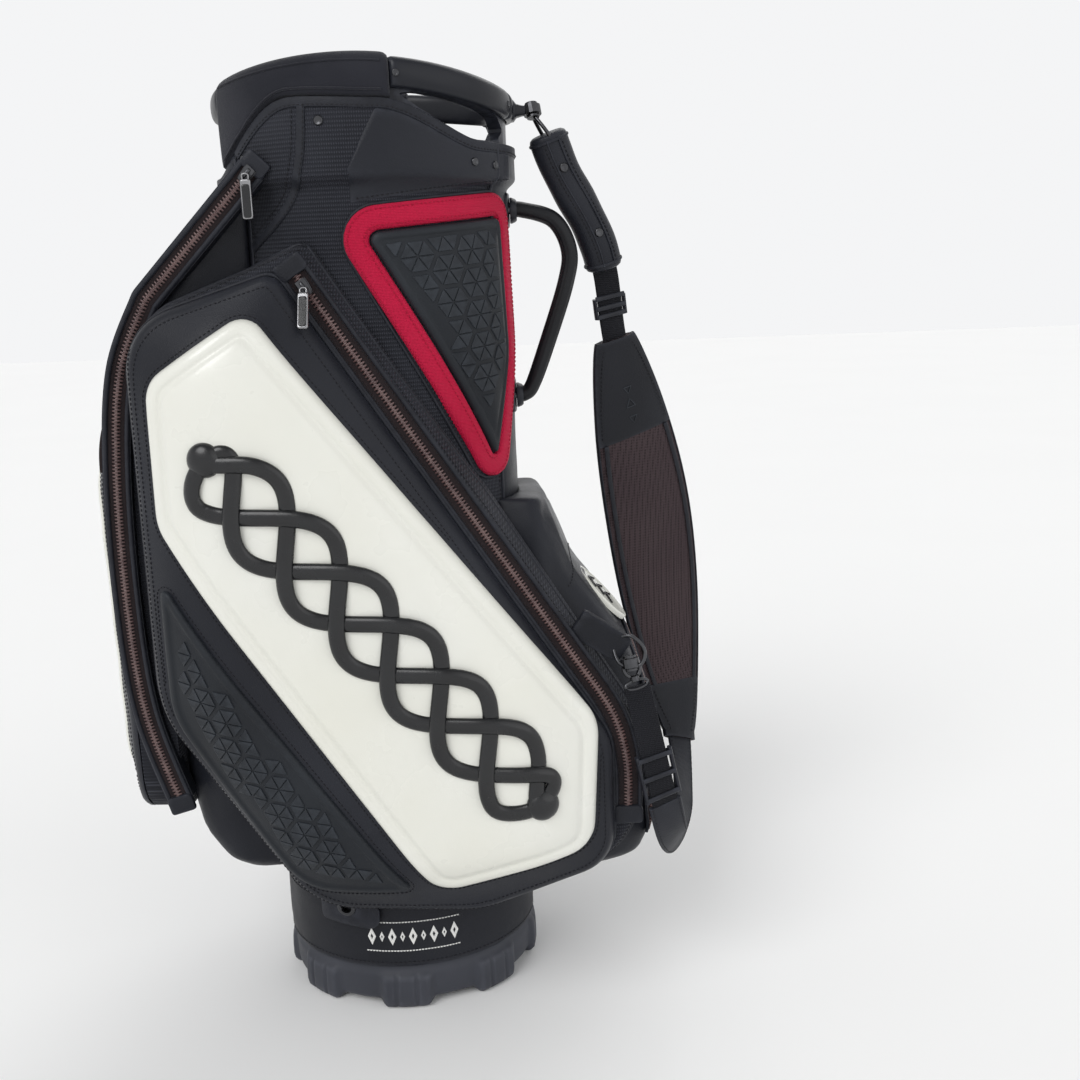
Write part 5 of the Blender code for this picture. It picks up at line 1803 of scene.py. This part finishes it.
def make_rear_badge():
    """A plain oval patch with a raised rim and three chevrons."""
    turn = math.radians(48)
    along = Vector((-math.cos(turn), 0, math.sin(turn)))
    out = Vector((math.sin(turn), 0, math.cos(turn)))
    centre = Vector((0.2105, 0, 0.3935))
    rings = []
    for share, lift in BADGE_KEYS:
        middle = centre + out * lift * MM
        oval = disc(0.034 * share, 0.036 * share, 90)
        rings.append([middle + Vector((0, y, 0)) + along * rise for y, rise in oval])
    piece(loft("rear_badge_skin", rings, "white"), "bag", "white_pu", ["rear_badge"])
    marks = Batch("rear_badge_chevrons", "braid")
    for row in (-0.012, 0.0, 0.012):
        path = []
        for y in (-0.016, -0.008, 0.0, 0.008, 0.016):
            rise = row + 0.008 * (1 - abs(y) / 0.016)
            path.append(centre + Vector((0, y, 0)) + along * rise + out * 2.8 * MM)
        marks.bar(smooth_path(path, 4), 1.7 * MM, 1.4 * MM, lambda i: out)
    piece(marks.made(), "bag", "black_pu")


# ---------------------------------------------------------------- sliders and pulls

SIDE_PULL_LIFT = 28
PULL_LONG, PULL_THICK, PULL_WIDE = 0.040, 0.0028, 0.0095
SLIDER_THICK = 0.0045
# (place along the zip, half width) of a slider's plates, in mm.
SLIDER_WEDGE = ((-7.3, 3.4), (-6.9, 4.0), (-3.0, 4.7), (2.0, 5.4), (6.9, 5.4), (7.3, 4.8))
PLATE_KEYS = ((0.0, 0.2), (0.0004, 1.0), (0.0009, 1.4), (1.0, 1.4))
INLAY_KEYS = ((0.0, 0.1), (0.0005, 0.7), (1.0, 0.8))
PULL_EYE = [
    (-0.0030, -0.0001, 0.0018),
    (0.0030, -0.0001, 0.0018),
    (0.0024, 0.0062, 0.0012),
    (-0.0024, 0.0062, 0.0012),
]


def make_slider_body(name, base, along, out):
    """A slider's two plates, the post between them, and the bridge that arches over them."""
    across = along.cross(out)
    body = Batch(f"{name}_slider_skin", "gunmetal")

    def block(rows, low, high, corner):
        """A block with cut corners, from rows of its place along the zip and its half width, all in mm."""
        rings = []
        for s, half in rows:
            found = [(half - corner, low), (half, low + corner), (half, high - corner), (half - corner, high)]
            found += [(-x, y) for x, y in reversed(found)]
            rings.append([base + (along * s + across * x + out * y) * MM for x, y in found])
        body.rings(rings)

    block(SLIDER_WEDGE, 0.0, 1.5, 0.5)
    block([(s, half * 0.86) for s, half in SLIDER_WEDGE], 2.4, 3.6, 0.45)
    block([(s, 1.1) for s in (-2.0, 0.0, 4.0)], 1.2, 2.8, 0.3)
    arch = []
    for k in range(17):
        a = math.pi * k / 16
        arch.append(base + along * 5.2 * MM * math.cos(a) + out * (3.4 * MM + 1.9 * MM * math.sin(a)))
    ways = [across.cross((arch[min(i + 1, 16)] - arch[max(i - 1, 0)]).normalized()) for i in range(17)]
    body.bar(arch, 1.4 * MM, 0.7 * MM, ways)
    piece(body.made(), f"{name}_slider", "slider_metal", [f"{name}_slider"])


def make_pull(name, pivot, out, lift):
    """A framed metal pull with an inlay on each face, and the wire eye that it hangs from."""
    turn = math.radians(lift)
    down = Vector((0, 0, -1)) * math.cos(turn) + out * math.sin(turn)
    side = Vector((0, 0, -1)).cross(out)
    face = side.cross(down)

    def put(p, depth):
        return pivot + side * p.x + down * p.y + face * depth

    plate = oblong(PULL_WIDE / 2, 0.0042, PULL_LONG - 0.002, 0.0022, 0.0026)
    plate = patch(
        f"{name}_pull_frame", plate, lambda p, d: profile(d, PLATE_KEYS) * MM, lambda p: -1.3 * MM, put,
        "silver", [0.0, 0.0002, 0.0004, 0.0009], 100,
    )
    piece(plate, f"{name}_pull", "slider_metal", [f"{name}_pull"])
    for word, way in (("front", 1), ("back", -1)):
        inlay = oblong(PULL_WIDE / 2 - 0.0012, 0.0085, PULL_LONG - 0.0036, 0.0016, 0.0018)
        tab = patch(
            f"{name}_pull_tab_{word}", inlay,
            lambda p, d, way=way: way * (1.2 + profile(d, INLAY_KEYS)) * MM,
            lambda p, way=way: way * 0.9 * MM, put, "braid", [0.0, 0.0002, 0.0005, 0.0011], 90,
        )
        piece(tab, f"{name}_pull", "cuff_plastic")
    eye = Batch(f"{name}_pull_eye", "silver")
    ring_loop(eye, [put(p, -0.3 * MM) for p in edge_line(PULL_EYE, 44)], 0.75 * MM, face)
    piece(eye.made(), f"{name}_pull", "slider_metal")


def make_slider(name, place, along, out, lift):
    make_slider_body(name, place + out * GAP, along.normalized(), out)
    make_pull(name, place + out * (SLIDER_THICK + GAP + PULL_THICK), out, lift)


def make_sliders():
    lift = NEAR * ZIP_THICK
    place = SIDE_ZIP[0].lerp(SIDE_ZIP[1], 0.04) + lift
    along = SIDE_ZIP[0] - SIDE_ZIP[1]
    make_slider("side_near", place, along, NEAR, SIDE_PULL_LIFT)
    make_slider("side_far", place * FLIP, along * FLIP, NEAR * FLIP, SIDE_PULL_LIFT)
    place = FRONT_ZIP[0].lerp(FRONT_ZIP[1], 0.06) + lift
    make_slider("front", place, FRONT_ZIP[0] - FRONT_ZIP[1], NEAR, 0.0)


def make_side_zip():
    path = resample([SIDE_ZIP[0]] + smooth_path(SIDE_ZIP[1:], 12), 340)
    path = [p + NEAR * 0.2 * MM for p in path]
    near_zip("side_zip", path, 0.022)
    rows = Batch("side_zip_stitches_near", "thread")
    edges = Batch("side_zip_edges_near", "pu_soft")
    normals = [NEAR] * len(path)
    for side in (-1, 1):
        row = beside(path, side * 8.2 * MM, 1.0 * MM, normals)
        stitch_row(rows, [(p, NEAR) for p in row], 0.0036)
        edges.bar(beside(path, side * 11.2 * MM, 0.9 * MM, normals), 2.0 * MM, 1.7 * MM, normals)
    both_sides(rows.made(), "black_pu")
    zip_garage(edges, path[0] + (path[0] - path[1]).normalized() * 0.003, path[0] - path[1], 0.028, 0.016)
    zip_garage(edges, path[-1], path[-1] - path[-2], 0.028, 0.018)
    both_sides(edges.made(), "black_pu")


# ---------------------------------------------------------------- spine handle

# (half height, half width) of a collar at each of its steps out from the spine.
COLLAR = ((0.0118, 0.0138), (0.0122, 0.0142), (0.0108, 0.0130), (0.0094, 0.0118))


def make_spine_handle():
    """The ribbed rubber grip, with a collar at each end."""
    route = resample(smooth_path(HANDLE_ROUTE, 12), 150)
    out = Vector((0, 1, 0))

    def section(i):
        t = i / 149
        grip = max(0.0, math.sin(math.pi * min(max((t - 0.10) / 0.80, 0.0), 1.0))) ** 0.35
        thin = 1.0 - 0.10 * (1 - grip)
        found = []
        for a in circle(48):
            groove = 0.55 * MM * grip * (0.5 + 0.5 * math.cos(10 * a))
            found.append(((0.0082 * thin - groove) * math.cos(a), (0.0112 * thin - groove) * math.sin(a)))
        return found

    handle = loft("spine_handle_grip", sweep_rings(route, section, lambda i: out), "rubber")
    piece(handle, "bag", "black_pu", ["spine_handle"])
    collars = Batch("spine_handle_plates", "plastic")
    for end in (route[0], route[-1]):
        steps = [end + Vector((x * MM, 0, 0)) for x in (0.0, 1.5, 5.0, 6.5)]
        collars.rings(sweep_rings(steps, lambda i: disc(*COLLAR[i], 28), lambda i: out))
    piece(collars.made(), "bag", "cuff_plastic")


def make_handle_plates(cover):
    """A riveted plate on the spine behind each end of the handle."""
    studs = Batch("spine_handle_rivets", "gunmetal")
    for z in (0.774, 0.5985):
        corners = oblong(0.019, z - 0.016, z + 0.016, 0.007, 0.007)
        name = f"spine_plate_{int(z * 1000)}"
        plate = drape(name, corners, 2.2 * MM, cover, lambda loop: end_rays(loop, 1), "plastic", 100)
        piece(plate, "bag", "cuff_plastic")
        skin = Skin(plate)
        for y in (-0.0135, 0.0135):
            for place, normal in skin.lay(end_rays([(y, z)], 1)):
                dome_stud(studs, place, normal, 2.8 * MM, 1.2 * MM)
    piece(studs.made(), "bag", "dark_metal")


# ---------------------------------------------------------------- shoulder strap

STRAP_STEPS = 12
PAD_FIRST, PAD_LAST = 4, 9
PAD_STEPS = 199


def strap_facing(point):
    return Vector((point.x - 0.10, point.y - 0.40, 0.0)).normalized()


def facings(path):
    """The way that the strap's outer face looks, at each point of a path."""
    return [strap_facing(p) for p in path]


def strap_route(first, last, trim, count):
    """Part of the strap's centre line, evenly spaced."""
    route = smooth_path(STRAP_ROUTE, STRAP_STEPS)
    part = route[first * STRAP_STEPS : last * STRAP_STEPS + 1]
    length = length_of(part)
    fine = resample(part, 400)
    cut = max(int(trim / length * 399), 0)
    return resample(fine[cut : 400 - cut], count)


def band(path, wide, thick):
    """Rings of a flat strap, its thickness centred on the path."""
    section = [(a, o - thick / 2) for a, o in rounded_strip(wide, thick, 5)]
    return sweep_rings(path, section, facings(path))


def strap_rows(batch, path, offsets, lift):
    """Rows of stitches along a strap's outer face and its inner one. An offset may be read along the path."""
    last = len(path) - 1
    for face in (1, -1):
        for away in offsets:
            across = (lambda i, away=away: away(i / last)) if callable(away) else away
            line = beside(path, across, face * lift, facings(path))
            stitch_row(batch, [(p, strap_facing(p) * face) for p in line])


def pad_width(t):
    return 0.044 + 0.066 * math.sin(math.pi * min(max(t * 1.02, 0.0), 1.0)) ** 0.8


def pad_shape(grow, start=0.0, end=1.0):
    """A cushion's section: full in the middle and thin at its edges."""
    def section(t):
        share = start + (end - start) * t
        w = pad_width(share) / 2 - 0.0015 + grow
        found = []
        for k in range(21):
            x = -1 + 2 * k / 20
            found.append((w * x, (0.0018 + 0.0038 * (1 - abs(x) ** 3.2)) + grow))
        return found + [(a, -o) for a, o in reversed(found)]

    return section


def make_sleeve(rows):
    """Leather wrapped round the strap's upper end, closed by rows of stitches and two snaps."""
    path = strap_route(0, 3, 0.003, 90)
    faces = facings(path)

    def section(i):
        t = i / 89
        keep = 0.80 + 0.20 * bulge(min(t, 1 - t) / 0.045)
        fold = 1.0 + 0.025 * math.sin(17 * t) * math.sin(math.pi * t)
        return disc(0.0188 * keep * fold, 0.0148 * keep * fold, 40)

    sleeve = loft("strap_sleeve", sweep_rings(path, section, faces), "pu")
    piece(sleeve, "strap", "black_pu", ["strap_roll"])
    trim = Batch("strap_sleeve_trim", "pu_soft")
    loops = sweep_rings(path, disc(0.0190, 0.0150, 48), faces)
    for i in (4, 85):
        ways = [(p - path[i]).normalized() for p in loops[i]]
        trim.bar(loops[i], 1.5 * MM, 1.2 * MM, ways, 8, True)
    for away in (-0.006, 0.006):
        line = beside(path[3:-3], away, 0.0150, faces[3:-3])
        trim.bar(line, 0.8 * MM, 0.7 * MM, facings(line), 8)
    piece(trim.made(), "strap", "black_pu")
    studs = Batch("strap_sleeve_snaps", "gunmetal")
    for i in (22, 66):
        dome_stud(studs, path[i] + faces[i] * 0.0146, faces[i], 4.4 * MM, 1.7 * MM)
    piece(studs.made(), "strap", "dark_metal")
    strap_rows(rows, path[6:-6], (-0.0092, 0.0092), 0.0133)
    return path[0]


def make_hanger(first):
    """A wire triangle from the top swivel to the sleeve, which starts at first."""
    across = (first - STRAP_TOP).normalized().cross(Vector((0.3, 0, 1))).normalized()
    low = first + Vector((0, 0, -0.002))
    corners = [STRAP_TOP + Vector((0, 0, -0.003)), low + across * 0.012, low - across * 0.012]
    wires = Batch("strap_hangers", "gunmetal")
    ring_loop(wires, smooth_path(corners, 12, True), 1.9 * MM, strap_facing(first))
    piece(wires.made(), "strap", "slider_metal")


def make_upper_webbing():
    """The upper webbing with its ladder-lock."""
    web = loft("strap_web_upper_skin", band(strap_route(2, PAD_FIRST + 1, 0.038, 60), 0.0265, 0.0030), "web")
    piece(web, "strap", "webbing", ["strap_web_upper"])
    lock = Batch("strap_ladder_lock", "plastic")
    add_ladder(lock, strap_route(3, PAD_FIRST, 0.001, 40), 0.40, 0.70, 0.0160)
    piece(lock.made(), "strap", "cuff_plastic")


def make_pad(path):
    """The pad's cushion of spacer mesh, with leather along most of its back."""
    shape = pad_shape(0.0)
    faces = facings(path)
    pad = loft("strap_pad_skin", sweep_rings(path, lambda i: shape(i / PAD_STEPS), faces), "mesh")
    piece(pad, "strap", "spacer_mesh", ["strap_pad"])

    def back(i):
        half = shape((i + 40) / PAD_STEPS)[:21]
        return [(a, -o - 0.7 * MM) for a, o in half] + [(a, -o + 0.2 * MM) for a, o in reversed(half)]

    leather_back = loft("strap_pad_back", sweep_rings(path[40:178], back, faces[40:178]), "pu")
    piece(leather_back, "strap", "black_pu")


def make_pad_ends(path, rows):
    """Leather over both ends of the pad, stitched down along its edges."""
    for name, start, end in (("upper", 0.0, 0.235), ("lower", 0.86, 1.0)):
        part = path[int(start * PAD_STEPS) : int(end * PAD_STEPS) + 1]
        last = len(part) - 1
        shape = pad_shape(0.9 * MM, start, end)

        def capped(i, shape=shape, last=last):
            if 0 < i < last:
                return shape(i / last)
            return [(a - (0.6 * MM if a > 0 else -0.6 * MM), o * 0.90) for a, o in shape(i / last)]

        def near_edge(t, side, start=start, end=end):
            return side * (pad_width(start + (end - start) * t) / 2 - 0.006)

        cap = loft(f"strap_pad_end_{name}", sweep_rings(part, capped, facings(part)), "pu_soft")
        piece(cap, "strap", "black_pu")
        offsets = [lambda t, side=side, edge=near_edge: edge(t, side) for side in (-1, 1)]
        strap_rows(rows, part[3:-3], offsets, 0.0052)


def make_pad_edges(path):
    """A binding round the pad's edges, and a ridge inside it on the outer face."""
    edges = Batch("strap_pad_binding", "pu_soft")
    faces = facings(path)
    for side in (-1, 1):
        line = beside(path, lambda i, side=side: side * (pad_width(i / PAD_STEPS) / 2 - 0.0010), 0.0, faces)
        edges.bar(line, 1.5 * MM, 2.9 * MM, faces)
    first, part = 46, path[46:172]
    for side in (-1, 1):
        def across(i, side=side):
            return side * (pad_width((i + first) / PAD_STEPS) / 2 - 0.0085)

        edges.bar(beside(part, across, 0.0052, facings(part)), 2.6 * MM, 0.9 * MM, facings(part))
    piece(edges.made(), "strap", "black_pu")


def make_pad_marks(path):
    """Three raised triangles on the leather at the pad's upper end."""
    marks = Batch("strap_pad_triangles", "moulded_pu")
    for i, size, flip in ((24, 0.0062, 1), (31, 0.0075, -1), (38, 0.0062, 1)):
        out = strap_facing(path[i])
        along = (path[i + 1] - path[i - 1]).normalized()
        across = along.cross(out)
        rings = []
        for share, lift in ((1.0, 5.8), (0.92, 7.0), (0.62, 7.2), (0.54, 6.4), (0.2, 6.4)):
            corners = [across * math.sin(a) + along * flip * math.cos(a) for a in circle(3)]
            rings.append([path[i] + way * size * share + out * lift * MM for way in corners])
        marks.rings(rings)
    piece(marks.made(), "strap", "black_pu")


def make_lower_leather(rows):
    """The strap's lower leather, folded over and stitched down both edges."""
    path = strap_route(PAD_LAST - 1, 14, 0.0, 420)[66:417]
    lower = loft("strap_leather_lower", band(path, 0.0335, 0.0042), "pu_soft")
    piece(lower, "strap", "black_pu", ["strap_web_lower"])
    strap_rows(rows, path, (-0.0138, 0.0138), 0.0021)


def make_buckle():
    """The buckle and the end webbing below it."""
    buckle = Batch("strap_buckle_frame", "plastic")
    add_ladder(buckle, strap_route(14, 15, 0.002, 40), 0.06, 0.94, 0.0165, True)
    piece(buckle.made(), "strap", "cuff_plastic", ["strap_buckle"])
    path = strap_route(13, 16, 0.001, 160)[44:]
    web = loft("strap_web_end_skin", band(path, 0.0255, 0.0030), "web")
    piece(web, "strap", "webbing", ["strap_web_end"])
    return path[-1]


def make_trigger_hook(end):
    """The hook at the webbing's end, which closes on the bag's ring."""
    hook = Batch("strap_trigger_hook", "gunmetal")
    out = strap_facing(end)
    way = (STRAP_FOOT - end).normalized()
    side = way.cross(out).normalized()
    eye = [end + way * 0.001 + side * 0.011 * math.cos(a) + way * 0.004 * math.sin(a) for a in circle(40)]
    ring_loop(hook, eye, 1.5 * MM, out)
    barrel = [end + way * d * MM for d in (3.5, 4.0, 8.5, 9.5)]
    wide = (3.0 * MM, 4.2 * MM, 4.2 * MM, 3.2 * MM)
    hook.rings(sweep_rings(barrel, lambda i: disc(wide[i], wide[i], 20), lambda i: out))
    turns = [math.radians(-60 + 300 * i / 40) for i in range(41)]
    jaw = [end + way * 0.0165 + side * 0.0075 * math.cos(a) + way * 0.0085 * math.sin(a) for a in turns]
    hook.bar(jaw, 2.0 * MM, 1.8 * MM, lambda i: out)
    piece(hook.made(), "strap", "slider_metal")


def make_strap():
    rows = Batch("strap_stitches", "thread")
    make_hanger(make_sleeve(rows))
    make_upper_webbing()
    path = strap_route(PAD_FIRST, PAD_LAST, 0.003, PAD_STEPS + 1)
    make_pad(path)
    make_pad_ends(path, rows)
    make_pad_edges(path)
    make_pad_marks(path)
    make_lower_leather(rows)
    piece(rows.made(), "strap", "black_pu")
    make_trigger_hook(make_buckle())


def add_ladder(batch, path, start, end, half, both_faces=False):
    """A moulded three-bar slider: two rails, and bars on a strap's outer face or on both its faces."""
    count = len(path) - 1
    part = path[int(start * count) : int(end * count) + 1]
    faces = facings(part)
    for side in (-1, 1):
        batch.bar(beside(part, side * half, 0.0, faces), 2.0 * MM, 3.4 * MM, faces, 14)
    for share in (0.06, 0.5, 0.94):
        i = int(share * (len(part) - 1))
        out = faces[i]
        across = (part[min(i + 1, len(part) - 1)] - part[max(i - 1, 0)]).normalized().cross(out)
        for level in (2.9 * MM, -2.9 * MM) if both_faces else (2.9 * MM,):
            line = [part[i] + across * x + out * level for x in (-half, -half / 2, 0.0, half / 2, half)]
            batch.bar(line, 2.4 * MM, 1.3 * MM, [out] * 5, 12)


# ---------------------------------------------------------------- fastenings

# (x, half width, half height) of the strap's top bracket, out from the spine.
BRACKET = (
    (0.1335, 0.0130, 0.0100), (0.1395, 0.0125, 0.0095), (0.1420, 0.0090, 0.0062),
    (0.1470, 0.0068, 0.0048), (0.1505, 0.0060, 0.0044), (0.1515, 0.0048, 0.0034),
)
FOOT_TAB = [
    (0.171, 0.390, 0.004),
    (0.187, 0.413, 0.004),
    (0.231, 0.383, 0.006),
    (0.216, 0.361, 0.006),
]
FOOT_TAB_KEYS = (
    (0.6, -0.0050), (0.95, -0.0050), (1.0, -0.0036),
    (1.0, 0.0030), (0.95, 0.0042), (0.7, 0.0046), (0.1, 0.0046),
)
FOOT_RING = (
    (-0.014, 0.0075, 0.018),
    (0.000, 0.002, 0.026),
    (0.013, -0.002, 0.013),
    (0.008, -0.004, -0.001),
    (-0.010, -0.002, 0.001),
)
UMBRELLA_TAB = [
    (-126.5 * ARC_PER_DEGREE, 0.0965, 0.006),
    (-99.5 * ARC_PER_DEGREE, 0.0915, 0.010),
    (-99.0 * ARC_PER_DEGREE, 0.113, 0.010),
    (-110.0 * ARC_PER_DEGREE, 0.1345, 0.016),
    (-127.0 * ARC_PER_DEGREE, 0.1345, 0.006),
]
# (radius, height over the tube) round the eyelet's section, in mm.
EYELET_KEYS = (
    (5.2, 3.0), (5.0, 6.6), (5.8, 7.8), (7.4, 8.0), (9.0, 7.2), (9.4, 6.2), (9.2, 5.6), (6.6, 5.2),
)


def make_top_bracket():
    rings = []
    for x, half_y, half_z in BRACKET:
        ring = [(half_y * bend(math.cos(a)), half_z * bend(math.sin(a))) for a in circle(32)]
        rings.append([Vector((x, y, STRAP_TOP.z + z)) for y, z in ring])
    piece(loft("strap_bracket_top", rings, "plastic"), "bag", "cuff_plastic", ["strap_tab_top"])


def make_foot_ring():
    """The tab at the strap's foot, and the wire ring that the strap's hook closes on."""
    line = edge_line(FOOT_TAB, 80)
    middle = sum(line, Vector((0, 0))) / 80
    rings = []
    for share, depth in FOOT_TAB_KEYS:
        rings.append([near_side(middle + (p - middle) * share, GUSSET_Y - 0.006 + depth) for p in line])
    piece(loft("strap_tab_foot", rings, "pu_soft"), "bag", "black_pu")
    wires = Batch("bag_rings", "gunmetal")
    corners = [STRAP_FOOT + Vector(step) for step in FOOT_RING]
    ring_loop(wires, smooth_path(corners, 10, True), 1.7 * MM, NEAR)
    piece(wires.made(), "bag", "slider_metal")


def make_umbrella_tab():
    """The umbrella tab low on the near side, with a metal eyelet."""
    edge = edge_line(UMBRELLA_TAB, 120)
    centre = Vector((-113.5 * ARC_PER_DEGREE, 0.1135))
    hole = [centre + Vector((math.cos(a), math.sin(a))) * 0.0062 for a in circle(120)]
    start = min(range(120), key=lambda k: (hole[k] - centre).angle(edge[0] - centre))
    turned = sum((edge[i].x - edge[i - 1].x) * (edge[i].y + edge[i - 1].y) for i in range(120))
    order = [hole[(start + (k if turned < 0 else -k)) % 120] for k in range(120)]
    rings = []
    for t, grow in ((0.0, 3.2), (0.0, 5.4), (0.06, 6.4), (0.5, 6.6), (1.0, 6.4), (1.0, 3.2), (0.5, 3.0)):
        rings.append([on_tube(a.lerp(b, t), grow * MM) for a, b in zip(edge, order)])
    piece(loft("umbrella_tab", rings, "pu", closed=True), "bag", "black_pu")
    eyelet = Batch("umbrella_eyelet", "gunmetal")
    loops = []
    for radius, grow in EYELET_KEYS:
        ring = [centre + Vector((math.cos(a), math.sin(a))) * radius * MM for a in circle(48)]
        loops.append([on_tube(p, grow * MM) for p in ring])
    eyelet.rings(loops, True)
    piece(eyelet.made(), "bag", "dark_metal")


def make_shoulder_seam():
    """The bound edge of the accessory pocket, which runs from the cuff down to the front zip."""
    skin = Skin(bpy.data.objects["cover_near"])
    seam = [(-0.040, 0.860), (-0.044, 0.820), (-0.054, 0.788), (-0.073, 0.765), (-0.0985, 0.744)]
    line = curved(seam)
    laid = skin.lay(side_rays(line), -0.3 * MM)
    both_sides(ribbon("accessory_binding_near", laid, 0.0075, 1.7 * MM, "pu_soft"), "black_pu")
    rows = Batch("accessory_stitches_near", "thread")
    for away, lift in ((-0.0024, 1.5), (0.0085, 0.4)):
        row = beside([p for p, _ in laid], away, 0.0, [n for _, n in laid])
        stitch_row(rows, skin.lay(side_rays([(p.x, p.z) for p in row]), lift * MM))
    both_sides(rows.made(), "black_pu")


# ---------------------------------------------------------------- CAD pieces that stay


def finish_cad_nodes():
    """Materials for the rigid pieces whose CAD shape is right."""
    finishes = {
        "cuff_ring": "plastic",
        "liner_tube": "liner",
        "divider_frame": "divider",
        "divider_sheet_long": "divider",
        "divider_sheet_front_near": "divider",
        "divider_sheet_front_far": "divider",
        "divider_sheet_rear_near": "divider",
        "divider_sheet_rear_far": "divider",
        "strap_stud_top": "gunmetal",
        "strap_stud_foot": "gunmetal",
        "strap_swivel_top": "gunmetal",
        "strap_swivel_foot": "gunmetal",
    }
    for name, mat in finishes.items():
        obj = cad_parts[name]
        if not obj.data.materials:
            obj.data.materials.append(None)
        for slot in obj.material_slots:
            slot.material = MAT[mat]
    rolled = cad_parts["divider_frame"].modifiers.new("rolled", "BEVEL")
    rolled.width, rolled.segments, rolled.limit_method = 1.4 * MM, 3, "ANGLE"


# ---------------------------------------------------------------- camera, light and floor


def set_stage():
    yaw, pitch, roll = math.radians(1.0), math.radians(12.5), math.radians(-2.0)
    forward = Vector((math.sin(yaw) * math.cos(pitch), math.cos(yaw) * math.cos(pitch), -math.sin(pitch)))
    right = forward.cross(Vector((0, 0, 1))).normalized()
    up = right.cross(forward)
    right, up = right * math.cos(roll) + up * math.sin(roll), up * math.cos(roll) - right * math.sin(roll)
    camera = bpy.data.objects.new("camera", bpy.data.cameras.new("camera"))
    bpy.context.scene.collection.objects.link(camera)
    turn = Matrix((right, up, -forward)).transposed().to_4x4()
    camera.matrix_world = Matrix.Translation(Vector((0.13, -1.17, 0.71))) @ turn
    camera.data.sensor_width = 36.0
    camera.data.lens = 39.33
    camera.data.clip_start = 0.01
    bpy.context.scene.camera = camera

    # A pale backdrop as bright as the floor, dimmer overhead, where the lamps take over.
    world = bpy.data.worlds.new("studio")
    world.use_nodes = True
    nodes, links = world.node_tree.nodes, world.node_tree.links
    split = nodes.new("ShaderNodeSeparateXYZ")
    links.new(nodes.new("ShaderNodeTexCoord").outputs["Generated"], split.inputs[0])
    rise = nodes.new("ShaderNodeMapRange")
    links.new(split.outputs[2], rise.inputs["Value"])
    for socket, value in (("From Min", 0.25), ("From Max", 0.70), ("To Min", 0.92), ("To Max", 0.42)):
        rise.inputs[socket].default_value = value
    background = nodes["Background"]
    background.inputs["Color"].default_value = (0.985, 0.99, 1.0, 1.0)
    links.new(rise.outputs[0], background.inputs["Strength"])
    bpy.context.scene.world = world
    bpy.context.scene.view_settings.view_transform = "Standard"

    for name, place, softness, power in (
        ("key", (-1.6, -2.2, 2.4), 35.0, 1.30),
        ("fill", (2.4, -1.8, 1.5), 60.0, 0.45),
        ("back", (0.9, 2.4, 2.6), 45.0, 0.75),
    ):
        light = bpy.data.lights.new(name, "SUN")
        light.energy, light.angle = power, math.radians(softness)
        obj = bpy.data.objects.new(name, light)
        bpy.context.scene.collection.objects.link(obj)
        obj.location = place
        obj.rotation_euler = (-Vector(place)).to_track_quat("-Z", "Y").to_euler()

    floor = Shade("pale_floor", (0.90, 0.90, 0.895), 0.9, specular=0.05)
    floor.soil((0.885, 0.885, 0.88), 1.5, 0.5, 0.05)
    MAT["floor"] = floor.made
    corners = [(-12, -12, 0), (12, -12, 0), (12, 12, 0), (-12, 12, 0)]
    add_mesh("floor", corners, [(0, 1, 2, 3)], "floor")


# ---------------------------------------------------------------- the bag


def main():
    set_stage()
    finish_cad_nodes()
    make_foot()
    make_emblem(make_band())
    cover = make_body()
    make_cuff_pads()
    make_cuff_handles()
    make_cover_studs(cover, make_yoke(cover))
    make_braid(make_side_pocket())
    make_accent_border(cover)
    make_accent_pad()
    make_front_pocket()
    make_ball_gusset()
    make_ball_door()
    make_ball_zip()
    make_rear_pocket()
    make_rear_badge()
    make_shoulder_seam()
    make_side_zip()
    make_sliders()
    make_spine_handle()
    make_handle_plates(cover)
    make_strap()
    make_top_bracket()
    make_foot_ring()
    make_umbrella_tab()


main()
